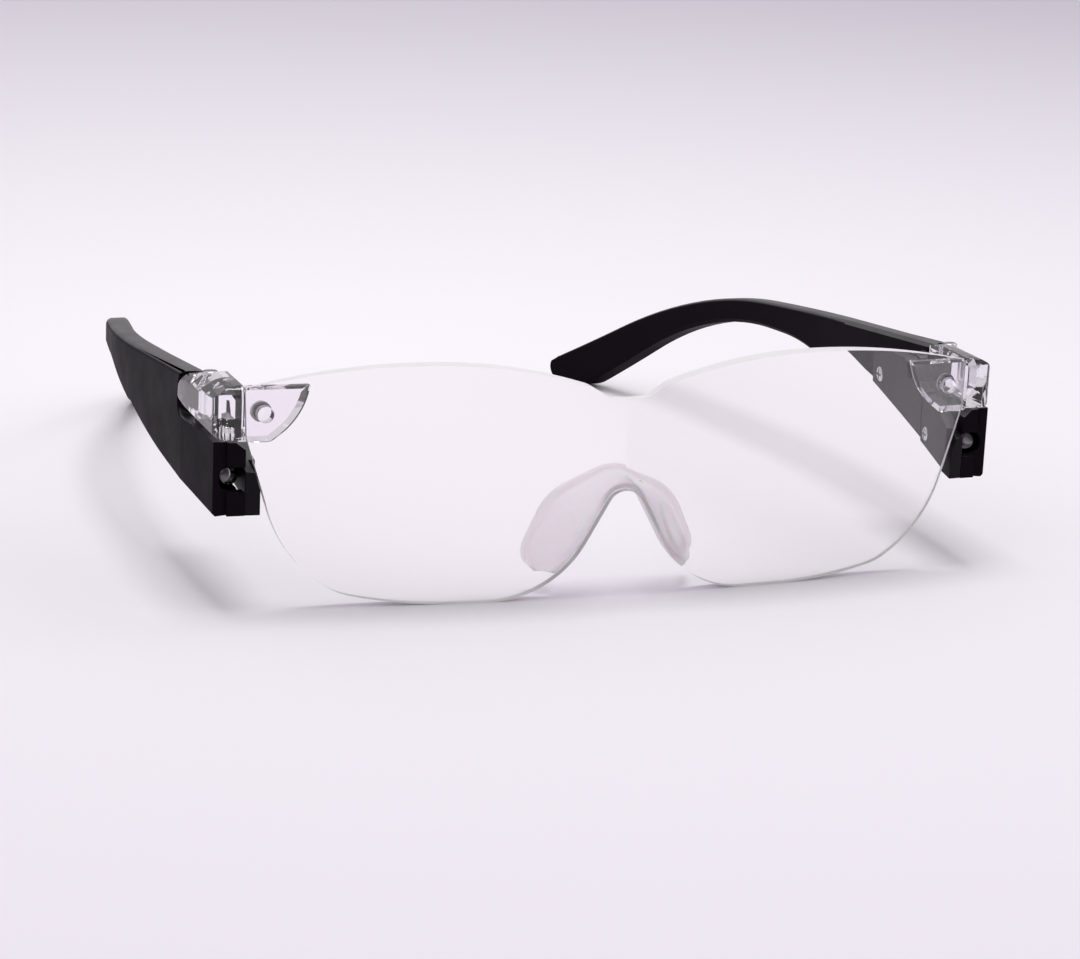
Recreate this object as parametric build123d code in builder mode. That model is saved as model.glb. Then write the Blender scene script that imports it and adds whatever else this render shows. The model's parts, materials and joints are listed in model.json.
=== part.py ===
"""Lighted magnifier glasses with a one-piece clear lens, clear hinged end pieces and folding temples.

Each temple carries its own lamp, board, switch and cells in a shallow housing closed by two inner covers.
The origin is on the table under the middle of the whole part. -Y is the front of the lens, +Y runs to the
ears and +Z is up. Outlines measure y from the front of the lens. Pieces on the +X side are the wearer's
left ones, and the right ones are their mirror images.
"""
import math
import os
from build123d import *

# Overall sizes
overall_width = 152.0
lens_inset = 6.5
lens_height = 43.75
temple_reach = 169.0

# Running fits, seats and the reach of a cutter past what it cuts
seat_gap = 0.3
swing_gap = 0.4
pin_gap = 0.05
overrun = 1.0
leg_fill_share = 0.98

# Lens: shallow front curve and one magnifying bulge behind each eye
lens_front_radius_share = 6.043
lens_back_radius_share = 8.374
lens_middle_thickness = 4.2
eye_centre_x_share = 0.4604
eye_centre_z_share = 0.503
lens_blank_depth = 14.0
dome_turn = 36.0

# Lens outline from the bridge round to the nose notch: x and z as shares of the half width and the
# height, then the corner radius as a share of the height
lens_outline_shares = (
    (0.051, 0.843, 0.069),
    (0.108, 0.899, 0.091),
    (0.317, 1.0, 2.29),
    (0.763, 1.0, 3.31),
    (1.0, 0.917, 0.014),
    (0.996, 0.713, 0.091),
    (0.899, 0.201, 0.571),
    (0.755, 0.059, 0.274),
    (0.588, 0.0, 2.011),
    (0.1875, 0.0, 0.457),
)
notch_apex_shares = (0.0, 0.537, 0.0775)

# Clear end piece: the hinge block beside the lens and the plate behind it
block_front_y = 5.5
block_rear_y = 28.7
block_bottom_drop = 12.75
block_top_drop = 3.35
block_fall = 2.8
block_fall_y = 18.0
block_inner_rear_y = 23.3
block_rear_corner = 4.5
block_foot_corner = 2.4
block_front_corner = 2.2
block_brow_corner = 5.0
block_side_corner = 3.0
lens_edge_gap = 0.25
plate_inner_inset = 18.2
plate_top_drop = 3.55
plate_bottom_drop = 13.55
plate_side_drop = 5.4
plate_side_lean = 0.8
plate_side_radius = 13.4
plate_foot_inset = 11.4
plate_foot_corner = 1.4
plate_chin_inset = 5.8
plate_rear_y = 8.7
plate_edge_slope = 0.9
plate_edge_angle = 45.0

# Lens pin, pressed through the lens and the plate
pin_inset = 10.0
pin_drop = 8.35
pin_diameter = 3.0
pin_head_diameter = 3.8
pin_head_depth = 0.5
pin_front_y = 5.3

# Hinge
hinge_inset = 3.5
hinge_y = 19.0
leaf_slot_bottom_drop = 10.55
leaf_slot_top_drop = 6.35
leaf_slot_front = 3.0
lug_radius = 2.0
lug_play = 0.2
hinge_screw_diameter = 1.6
hinge_head_diameter = 2.8
hinge_head_depth = 0.7
leaf_floor = 0.8
lug_root_y = 27.5

# Temple outline, seen from the side
housing_front_y = 6.4
housing_front_bottom_drop = 26.75
housing_top_drop = 13.15
arm_top_drop = 4.85
arm_front_y = 24.4
arm_bend_reach = 44.4
arm_bend_drop = 14.65
arm_top_bend_radius = 116.0
arm_tip_z = 2.68
arm_tip_corner = 1.25
arm_belly_y = 50.0
arm_belly_drop = 23.95
arm_belly_radius = 190.0
arm_waist_share = 0.497
arm_waist_drop = 17.15
arm_waist_radius = 60.0
arm_heel_reach = 49.5
arm_heel_drop = 17.95
arm_heel_radius = 77.0
arm_rest_reach = 12.4
arm_rest_radius = 9.0
arm_top_chamfer = 0.7

# Temple outline, seen from above
arm_thickness = 4.6
arm_front_taper = 1.0
arm_taper_y = 26.0
arm_curve_y = 63.8
arm_curve_radius = 219.0

# Electronics housing on the front of the temple
housing_inner_inset = 6.5
housing_rear_y = 46.6
housing_wall = 1.2
housing_step_y = 29.6
housing_step_length = 1.6
housing_rear_top_drop = 11.35
housing_middle_top_drop = 9.75
housing_rear_corner = 2.6
brow_cut_steps = ((9.8, 18.55), (7.4, 15.15), (4.6, 12.95))
brow_cut_y = 16.5
bay_ceiling = 3.4
bay_outer_inset = 1.2
bay_front_floor_drop = 23.75
bay_floor_drop = 22.85
bay_rear_floor_drop = 20.95
bay_rear_y = 26.4
lamp_slot_width = 4.6

# Slanted underside: y, then how far it is below the top of the lens at the inner covers and at the outer face
underside_drops = (
    (4.4, 26.35, 26.85),
    (22.2, 22.95, 25.75),
    (46.2, 19.15, 24.05),
    (60.0, 18.75, 22.45),
    (76.0, 18.15, 18.85),
)

# Inner covers
cover_inner_inset = 9.1
cover_wall = 1.2
cover_rim = 1.2
cover_front_y = 4.4
cover_seam_y = 22.2
cover_top_drop = 13.85
cover_lens_clear_y = 8.2
door_step = 0.6
door_rear_y = 46.2
door_top_drop = 13.45
screw_drops = ((20.0, 21.15), (43.4, 16.55))
screw_diameter = 1.4
screw_length = 4.0
screw_head_diameter = 2.8
screw_head_depth = 0.7
screw_head_proud = 0.15
screw_boss_diameter = 3.2

# Lamp, board, resistor and switch
lamp_diameter = 3.0
lamp_inset = 4.3
lamp_drop = 19.85
lamp_front_y = 6.7
lamp_length = 5.3
lamp_flange_diameter = 3.8
lamp_flange_depth = 1.0
lamp_lead = 0.5
lamp_lead_length = 2.4
lamp_lead_spacing = 1.27
board_inner_inset = 3.1
board_thickness = 0.8
board_front_y = 12.6
board_rear_y = 25.8
board_bottom_drop = 22.55
board_top_drop = 16.85
resistor_length = 2.0
resistor_width = 1.25
resistor_height = 0.5
resistor_y = 22.0
resistor_drop = 18.35
switch_y = 14.6
switch_width = 3.6
switch_depth = 2.6
switch_height = 1.5

# Power button on the underside
button_inset = 4.4
button_width = 2.2
button_length = 5.0
button_travel = 0.5
button_proud = 0.7
button_gap = 0.15
button_flange = 0.5
button_lip = 0.5

# Cells and their contacts
cell_diameter = 9.5
cell_thickness = 2.5
cell_edge = 0.35
cell_y = 35.2
cell_drop = 16.05
cell_gap = 0.1
contact_thickness = 0.25
contact_width = 4.0
contact_length = 7.0
channel_width = 2.4

# Silicone nose saddle: a wing each side flares back from the notch edge, with a pad on its nose side
saddle_gap = 0.1
saddle_front_inset = 0.3
saddle_thickness = 1.2
saddle_front_y = 1.5
saddle_rear_y = 10.5
saddle_front_bow = 0.6
saddle_front_shares = ((0.13, 0.0, 0.01), (0.42, 1.0, 0.13), (0.72, 0.8, 0.13))
saddle_front_apex = 3.9
saddle_width_share = 0.2532
saddle_height_share = 0.5349
saddle_rear_shares = (
    (0.90, 0.13, 0.02),
    (1.0, 0.30, 0.26),
    (0.72, 0.77, 0.42),
)
saddle_crown_radius = 9.0
pad_length = 13.5
pad_width = 7.6
pad_thickness = 1.5
pad_height_share = 0.451
pad_shift = 0.9

# Worked-out places
half_width = overall_width / 2
lens_half = half_width - lens_inset
lens_width = 2 * lens_half
lens_front_radius = lens_half * lens_front_radius_share
lens_back_radius = lens_half * lens_back_radius_share
eye_centre_x = lens_half * eye_centre_x_share
eye_centre_z = lens_height * eye_centre_z_share
front_y = -temple_reach / 2
plate_inner_x = half_width - plate_inner_inset
plate_foot_x = half_width - plate_foot_inset
plate_chin_x = half_width - plate_chin_inset
pin_x = half_width - pin_inset
hinge_x = half_width - hinge_inset
housing_inner_x = half_width - housing_inner_inset
bay_outer_x = half_width - bay_outer_inset
cover_inner_x = half_width - cover_inner_inset
lamp_x = half_width - lamp_inset
board_inner_x = half_width - board_inner_inset
button_x = half_width - button_inset
block_bottom_z = lens_height - block_bottom_drop
block_top_z = lens_height - block_top_drop
plate_top_z = lens_height - plate_top_drop
plate_bottom_z = lens_height - plate_bottom_drop
pin_z = lens_height - pin_drop
leaf_slot_bottom_z = lens_height - leaf_slot_bottom_drop
leaf_slot_top_z = lens_height - leaf_slot_top_drop
housing_front_bottom_z = lens_height - housing_front_bottom_drop
housing_top_z = lens_height - housing_top_drop
arm_top_z = lens_height - arm_top_drop
housing_rear_top_z = lens_height - housing_rear_top_drop
housing_middle_top_z = lens_height - housing_middle_top_drop
bay_front_floor_z = lens_height - bay_front_floor_drop
bay_floor_z = lens_height - bay_floor_drop
bay_rear_floor_z = lens_height - bay_rear_floor_drop
cover_top_z = lens_height - cover_top_drop
door_top_z = lens_height - door_top_drop
lamp_z = lens_height - lamp_drop
board_bottom_z = lens_height - board_bottom_drop
board_top_z = lens_height - board_top_drop
arm_top_bend = (temple_reach - arm_bend_reach, lens_height - arm_bend_drop)
arm_belly = (arm_belly_y, lens_height - arm_belly_drop)
arm_waist = (temple_reach * arm_waist_share, lens_height - arm_waist_drop)
arm_heel = (temple_reach - arm_heel_reach, lens_height - arm_heel_drop)
arm_rest_y = temple_reach - arm_rest_reach
brow_cut = [(half_width - inset, lens_height - drop) for inset, drop in brow_cut_steps]
underside_rows = [(y, lens_height - inner, lens_height - outer) for y, inner, outer in underside_drops]
screw_places = [(y, lens_height - drop) for y, drop in screw_drops]
resistor_place = (resistor_y, lens_height - resistor_drop)
cell_place = (cell_y, lens_height - cell_drop)
saddle_half_width = lens_half * saddle_width_share
saddle_height = lens_height * saddle_height_share
pad_height = lens_height * notch_apex_shares[1] * pad_height_share
hinge_centre = (hinge_x, hinge_y)
block_inner_x = lens_half + lens_edge_gap
arm_inner_x = half_width - arm_thickness
slot_outer_x = hinge_x + lug_radius + lug_play
plate_outer_x = half_width - block_brow_corner
button_bottom_z = underside_rows[1][2] - button_proud


def face_plane(depth):
    """Plane seen from the front, at a depth behind the front of the lens: x, then z."""
    return Plane(origin=(0, front_y + depth, 0), x_dir=(1, 0, 0), z_dir=(0, -1, 0))


def side_plane(x):
    """Plane seen from the +X side: y from the front of the lens, then z."""
    return Plane(origin=(x, front_y, 0), x_dir=(0, 1, 0), z_dir=(1, 0, 0))


def level_plane(z):
    """Plane seen from above: x, then y from the front of the lens."""
    return Plane(origin=(0, front_y, z), x_dir=(1, 0, 0), z_dir=(0, 0, 1))


def rounded_face(corners):
    """Face inside a closed outline of (a, b, radius) corners, eased where two roundings would meet."""
    points = [Vector(a, b) for a, b, radius in corners]
    count = len(points)
    reach = []
    for i, (a, b, radius) in enumerate(corners):
        back = points[i - 1] - points[i]
        ahead = points[(i + 1) % count] - points[i]
        reach.append(radius / math.tan(math.radians(back.get_angle(ahead)) / 2))
    ease = [1.0] * count
    for i in range(count):
        leg = (points[i] - points[i - 1]).length * leg_fill_share
        share = min(1.0, leg / max(reach[i] + reach[i - 1], leg))
        ease[i] = min(ease[i], share)
        ease[i - 1] = min(ease[i - 1], share)
    radii = [corner[2] * factor for corner, factor in zip(corners, ease)]
    with BuildLine() as outline:
        FilletPolyline(*points, radius=radii, close=True)
    make_face(outline.edges())


def lens_corners():
    """Corners of the lens outline, all the way round."""
    half = [(lens_half * x, lens_height * z, lens_height * r) for x, z, r in lens_outline_shares]
    x, z, r = notch_apex_shares
    apex = (lens_half * x, lens_height * z, lens_height * r)
    mirrored = [(-x, z, r) for x, z, r in reversed(half)]
    return half + [apex] + mirrored


def dome(apex, towards, radius):
    """Slice of a ball shell whose outer face bulges to its apex, turned about the ball's upright axis."""
    centre = Vector(apex) - Vector(towards) * radius
    start = Vector(towards).rotate(Axis.Z, -dome_turn / 2)
    plane = Plane(origin=centre, x_dir=start, z_dir=start.cross(Vector(0, 0, 1)))
    inner = radius - lens_width
    reach = math.sqrt(radius**2 - lens_height**2)
    with BuildPart() as ball_slice:
        with BuildSketch(plane):
            with BuildLine():
                ends = [(reach, lens_height), (reach, -lens_height)]
                Polyline(ends[0], (inner, lens_height), (inner, -lens_height), ends[1])
                ThreePointArc(ends[1], (radius, 0), ends[0])
            make_face()
        revolve(axis=Axis(centre, (0, 0, 1)), revolution_arc=dome_turn)
    return ball_slice.part


def back_bulges(gap):
    """Both bulges of the back of the lens, grown by a gap."""
    sag = lens_front_radius - math.sqrt(lens_front_radius**2 - eye_centre_x**2)
    bulges = []
    for side in (1, -1):
        front = Vector(side * eye_centre_x, front_y + sag, eye_centre_z)
        inward = (Vector(0, front_y + lens_front_radius, eye_centre_z) - front).normalized()
        bulges.append(dome(front + inward * (lens_middle_thickness + gap), inward, lens_back_radius))
    return bulges[0] + bulges[1]


def arm_side_corners():
    """Corners of the temple seen from the side, with the front of its housing."""
    return [
        (housing_front_y, housing_front_bottom_z, 0),
        (housing_front_y, housing_top_z, 0),
        (arm_front_y, housing_top_z, 0),
        (arm_front_y, arm_top_z, 0),
        (*arm_top_bend, arm_top_bend_radius),
        (temple_reach, arm_tip_z, arm_tip_corner),
        (temple_reach, 0, arm_tip_corner),
        (arm_rest_y, 0, arm_rest_radius),
        (*arm_heel, arm_heel_radius),
        (*arm_waist, arm_waist_radius),
        (*arm_belly, arm_belly_radius),
    ]


def arm_curve_x(y, thickness=0):
    """Where the curved end of the arm stands at y, at a depth under its outer face."""
    radius = arm_curve_radius - thickness
    centre_x = half_width - arm_curve_radius
    return centre_x + math.sqrt(radius**2 - (y - arm_curve_y) ** 2)


def arm_plan(inner_x, thickness):
    """Band of the temple seen from above, between its outer face and an inner face."""
    outer_tip = (arm_curve_x(temple_reach), temple_reach)
    inner_tip = (arm_curve_x(temple_reach, thickness), temple_reach)
    middle_y = (arm_curve_y + temple_reach) / 2
    outer_middle = (arm_curve_x(middle_y), middle_y)
    inner_middle = (arm_curve_x(middle_y, thickness), middle_y)
    with BuildLine() as band:
        Polyline(
            (inner_x, arm_curve_y),
            (inner_x, housing_front_y),
            (half_width - arm_front_taper, housing_front_y),
            (half_width, arm_taper_y),
            (half_width, arm_curve_y),
        )
        ThreePointArc((half_width, arm_curve_y), outer_middle, outer_tip)
        Line(outer_tip, inner_tip)
        ThreePointArc(inner_tip, inner_middle, (inner_x, arm_curve_y))
    make_face(band.edges())


def on_arm_top(edge):
    """True for an edge along the outer or inner side of the arm's top."""
    middle = edge @ 0.5
    y = middle.Y - front_y
    along_arm = abs((edge % 0.5).X) < abs((edge % 0.5).Y)
    bend_y, bend_z = arm_top_bend
    if y < bend_y:
        top_z = arm_top_z - (arm_top_z - bend_z) * (y - arm_front_y) / (bend_y - arm_front_y)
    else:
        top_z = bend_z - (bend_z - arm_tip_z) * (y - bend_y) / arm_bend_reach
    return along_arm and y > arm_front_y and middle.Z > top_z - arm_thickness


def block_side_corners():
    """Corners of the hinge block seen from the side."""
    fall_z = block_top_z - block_fall
    return [
        (block_front_y, block_bottom_z, 0),
        (block_front_y, block_top_z, block_front_corner),
        (block_fall_y, block_top_z, block_side_corner),
        (block_rear_y, fall_z, block_rear_corner),
        (block_rear_y, block_bottom_z, block_foot_corner),
    ]


def block_plan_corners():
    """Corners of the hinge block seen from above."""
    return [
        (block_inner_x, block_front_y, 0),
        (half_width - arm_front_taper, block_front_y, block_front_corner),
        (half_width, arm_taper_y, 0),
        (half_width, block_rear_y, 0),
        (hinge_x, block_inner_rear_y + seat_gap, lug_radius),
        (block_inner_x, block_inner_rear_y, lug_radius),
    ]


def block_front_corners():
    """Corners of the hinge block seen from the front."""
    return [
        (block_inner_x, block_bottom_z, 0),
        (half_width, block_bottom_z, block_side_corner),
        (half_width, block_top_z, block_brow_corner),
        (block_inner_x, block_top_z, 0),
    ]


def plate_corners():
    """Corners of the plate behind the lens, seen from the front."""
    return [
        (plate_outer_x, plate_top_z, 0),
        (plate_inner_x, plate_top_z, 0),
        (plate_inner_x + plate_side_lean, plate_top_z - plate_side_drop, plate_side_radius),
        (plate_foot_x, plate_bottom_z, plate_foot_corner),
        (plate_chin_x, plate_bottom_z, 0),
        (plate_outer_x, block_bottom_z, 0),
    ]


def housing_corners():
    """Corners of the housing shell seen from the side."""
    return [
        (cover_front_y, 0, 0),
        (cover_front_y, housing_top_z, 0),
        (housing_step_y, housing_top_z, 0),
        (housing_step_y + housing_step_length, housing_middle_top_z, housing_step_length),
        (housing_rear_y, housing_rear_top_z, housing_rear_corner),
        (housing_rear_y, screw_places[1][1] - screw_boss_diameter, housing_rear_corner),
        (cover_seam_y, 0, 0),
    ]


def board_bay_corners():
    """Corners of the bay for the board, lamp and switch, seen from the side."""
    front = housing_front_y + housing_wall
    switch_reach = button_length / 2 + button_lip + button_gap
    return [
        (front, bay_front_floor_z, 0),
        (front, housing_top_z - bay_ceiling, 0),
        (bay_rear_y, housing_top_z - bay_ceiling, 0),
        (bay_rear_y, bay_rear_floor_z, 0),
        (switch_y + switch_reach, bay_floor_z, 0),
        (switch_y - switch_reach, bay_floor_z, 0),
    ]


def cover_corners():
    """Corners of the front inner cover, seen from the side."""
    return [
        (cover_front_y, 0, 0),
        (cover_seam_y, 0, 0),
        (cover_seam_y, cover_top_z, 0),
        (brow_cut_y, cover_top_z, 0),
        (cover_front_y, brow_cut[0][1], 0),
    ]


def door_corners():
    """Corners of the battery door, seen from the side."""
    front = cover_seam_y + lens_edge_gap
    rear_top = housing_rear_top_z - swing_gap
    return [
        (front, 0, 0),
        (front, door_top_z, 0),
        (housing_step_y, door_top_z, 0),
        (housing_step_y + housing_step_length, housing_middle_top_z - swing_gap, housing_step_length),
        (door_rear_y, rear_top, housing_rear_corner),
        (door_rear_y, screw_places[1][1] - screw_boss_diameter, housing_rear_corner),
    ]


def underside_room(lift):
    """Everything below the slanted underside of the temple, raised by a lift."""
    first = underside_rows[0][0] - overrun
    last = underside_rows[-1][0]
    with BuildPart() as room:
        for x, column in ((cover_inner_x, 1), (half_width, 2)):
            line = [(row[0], row[column] + lift) for row in underside_rows]
            line[0] = (first, line[0][1])
            with BuildSketch(side_plane(x)):
                with BuildLine():
                    Polyline((first, -overrun), *line, (last, -overrun), close=True)
                make_face()
        loft(ruled=True)
    return room.part


def notch_point(share, out):
    """Point beside the nose notch: a share of the way up its edge, then out into the lens."""
    foot = Vector(lens_half * lens_outline_shares[-1][0], 0)
    apex = Vector(0, lens_height * notch_apex_shares[1])
    along = apex - foot
    outward = Vector(along.Y, -along.X).normalized()
    point = foot + along * share + outward * out
    return point.X, point.Y


def arch_corners(outer, inner, outer_crown, inner_crown):
    """Corners of an arch: (x, z, radius) up the outer side and the inner one, and both crowns."""
    corners = outer + [outer_crown]
    corners += [(-x, z, r) for x, z, r in reversed(outer)]
    corners += [(-x, z, r) for x, z, r in inner]
    corners += [inner_crown] + list(reversed(inner))
    return corners


def saddle_front_corners():
    """Corners of the saddle's front rim, along the edge of the nose notch."""
    near = saddle_front_inset
    far = saddle_front_inset + saddle_thickness
    bow = saddle_front_bow
    shares = saddle_front_shares
    outer = [(*notch_point(up, far + bow * out), lens_height * radius) for up, out, radius in shares]
    inner = [(*notch_point(up, near + bow * out), lens_height * radius) for up, out, radius in shares]
    slope = lens_half * lens_outline_shares[-1][0] / (lens_height * notch_apex_shares[1])
    rise = math.hypot(1, slope) / slope
    apex_z = lens_height * notch_apex_shares[1]
    outer_crown = (0, apex_z + far * rise, saddle_front_apex + far)
    inner_crown = (0, apex_z + near * rise, saddle_front_apex + near)
    return arch_corners(outer, inner, outer_crown, inner_crown)


def pad_plane(side):
    """Plane of a wing of the saddle: its long way up the notch edge, facing the nose."""
    foot_x, foot_z = notch_point(0, 0)
    front_x, front_z = notch_point(pad_height_share, saddle_front_inset)
    front = Vector(front_x, saddle_front_y, front_z)
    rear = Vector(saddle_half_width - saddle_thickness, saddle_rear_y, pad_height)
    across = (rear - front).normalized()
    middle = (front + rear) / 2 + across * pad_shift
    upwards = Vector(-foot_x, 0, lens_height * notch_apex_shares[1] - foot_z).normalized()
    place = Vector(side * middle.X, front_y + middle.Y, middle.Z)
    upwards = Vector(side * upwards.X, 0, upwards.Z)
    across = Vector(side * across.X, across.Y, across.Z)
    return Plane(origin=place, x_dir=upwards, z_dir=upwards.cross(across) * side)


def saddle_rear_corners():
    """Corners of the saddle's wider rear rim."""
    outer = [(saddle_half_width * x, saddle_height * z, saddle_height * r) for x, z, r in saddle_rear_shares]
    inner = [(x - saddle_thickness, z, r) for x, z, r in outer]
    crown = saddle_crown_radius
    outer_crown = (0, saddle_height, crown)
    inner_crown = (0, saddle_height - saddle_thickness, crown)
    return arch_corners(outer, inner, outer_crown, inner_crown)


def export_pair(piece, name):
    """Writes a +X piece and its mirror image."""
    piece.part.label = f"{name}_left"
    export_step(piece.part, f"parts/{name}_left.step")
    with BuildPart() as twin:
        mirror(piece.part, about=Plane.YZ)
    twin.part.label = f"{name}_right"
    export_step(twin.part, f"parts/{name}_right.step")


os.makedirs("parts", exist_ok=True)

# Clear magnifying lens
with BuildPart() as lens:
    with BuildSketch(face_plane(-overrun)):
        rounded_face(lens_corners())
    extrude(amount=-lens_blank_depth)
    add(dome(Vector(0, front_y, eye_centre_z), Vector(0, -1, 0), lens_front_radius), mode=Mode.INTERSECT)
    add(back_bulges(0), mode=Mode.INTERSECT)
    with BuildSketch(face_plane(-overrun)):
        with Locations((pin_x, pin_z), (-pin_x, pin_z)):
            Circle(pin_diameter / 2 + pin_gap)
    extrude(amount=-lens_blank_depth, mode=Mode.SUBTRACT)

lens.part.label = "lens"
export_step(lens.part, "parts/lens.step")

# Room kept clear behind the lens and beside its edge
with BuildPart() as lens_room:
    with BuildSketch(face_plane(-overrun)):
        rounded_face(lens_corners())
        offset(amount=swing_gap)
    extrude(amount=-(cover_lens_clear_y + overrun))

# Room that the hinge block takes out of the front of the temple
with BuildPart() as block_room:
    with BuildSketch(side_plane(0)):
        rounded_face(block_side_corners())
        offset(amount=swing_gap)
    extrude(amount=half_width + overrun)
    with BuildSketch(level_plane(0)):
        rounded_face(block_plan_corners())
        offset(amount=swing_gap)
    extrude(amount=block_top_z + overrun, mode=Mode.INTERSECT)

# Plate of the end piece, shaped to the back of the lens, with a sloping rear edge
with BuildPart() as end_plate:
    with BuildSketch(face_plane(0)):
        rounded_face(plate_corners())
    extrude(amount=-(plate_rear_y - plate_edge_slope))
    with BuildSketch(face_plane(plate_rear_y - plate_edge_slope)):
        rounded_face(plate_corners())
    extrude(amount=-plate_edge_slope, taper=plate_edge_angle)
    add(back_bulges(seat_gap / 2), mode=Mode.SUBTRACT)

# Clear end piece
with BuildPart() as end_piece:
    with BuildSketch(side_plane(0)):
        rounded_face(block_side_corners())
    extrude(amount=half_width)
    with BuildSketch(level_plane(0)):
        rounded_face(block_plan_corners())
    extrude(amount=block_top_z + overrun, mode=Mode.INTERSECT)
    with BuildSketch(face_plane(0)):
        rounded_face(block_front_corners())
    extrude(amount=-temple_reach, mode=Mode.INTERSECT)
    # Slot between the two hinge leaves, open behind and inwards
    with BuildSketch(level_plane(leaf_slot_bottom_z)):
        with BuildLine():
            Polyline(
                (cover_inner_x, hinge_y - leaf_slot_front),
                (slot_outer_x, hinge_y - leaf_slot_front),
                (slot_outer_x, block_rear_y + overrun),
                (cover_inner_x, block_rear_y + overrun),
                close=True,
            )
        make_face()
    extrude(amount=leaf_slot_top_z - leaf_slot_bottom_z, mode=Mode.SUBTRACT)
    add(end_plate.part)
    # Hole for the lens pin, counterbored hole for the hinge screw
    with BuildSketch(face_plane(0)):
        with Locations((pin_x, pin_z)):
            Circle(pin_diameter / 2 + pin_gap)
    extrude(amount=-block_rear_y, mode=Mode.SUBTRACT)
    with Locations(level_plane(block_top_z) * Pos(hinge_x, hinge_y)):
        CounterBoreHole(
            radius=hinge_screw_diameter / 2 + pin_gap,
            counter_bore_radius=hinge_head_diameter / 2 + pin_gap,
            counter_bore_depth=hinge_head_depth,
            depth=block_top_z - block_bottom_z - leaf_floor,
        )

export_pair(end_piece, "end_piece")

# Lens pin with a low head behind
with BuildPart() as lens_pin:
    with BuildSketch(face_plane(pin_front_y)):
        with Locations((pin_x, pin_z)):
            Circle(pin_diameter / 2)
    extrude(amount=-(plate_rear_y - pin_front_y))
    with BuildSketch(face_plane(plate_rear_y)):
        with Locations((pin_x, pin_z)):
            Circle(pin_head_diameter / 2)
    extrude(amount=-pin_head_depth)

export_pair(lens_pin, "lens_pin")

# Hinge screw, from above through both leaves and the knuckle between them
with BuildPart() as hinge_screw:
    with BuildSketch(level_plane(block_bottom_z + leaf_floor)):
        with Locations(hinge_centre):
            Circle(hinge_screw_diameter / 2)
    extrude(amount=block_top_z - block_bottom_z - leaf_floor - hinge_head_depth)
    with BuildSketch(level_plane(block_top_z - hinge_head_depth)):
        with Locations(hinge_centre):
            Circle(hinge_head_diameter / 2)
    extrude(amount=hinge_head_depth)

export_pair(hinge_screw, "hinge_screw")

# Everything in front of the slanted front face of the housing
with BuildPart() as front_room:
    with BuildSketch(level_plane(-overrun)):
        with BuildLine():
            Polyline(
                (cover_inner_x, 0),
                (cover_inner_x, cover_front_y),
                (half_width, housing_front_y),
                (half_width, 0),
                close=True,
            )
        make_face()
    extrude(amount=block_top_z)

# Room under the clear end piece, cut off the housing's inner top corner
with BuildPart() as brow_room:
    with BuildSketch(face_plane(0)):
        with BuildLine():
            Polyline(*brow_cut, (brow_cut[2][0], block_top_z), (brow_cut[0][0], block_top_z), close=True)
        make_face()
    extrude(amount=-brow_cut_y)

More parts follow.
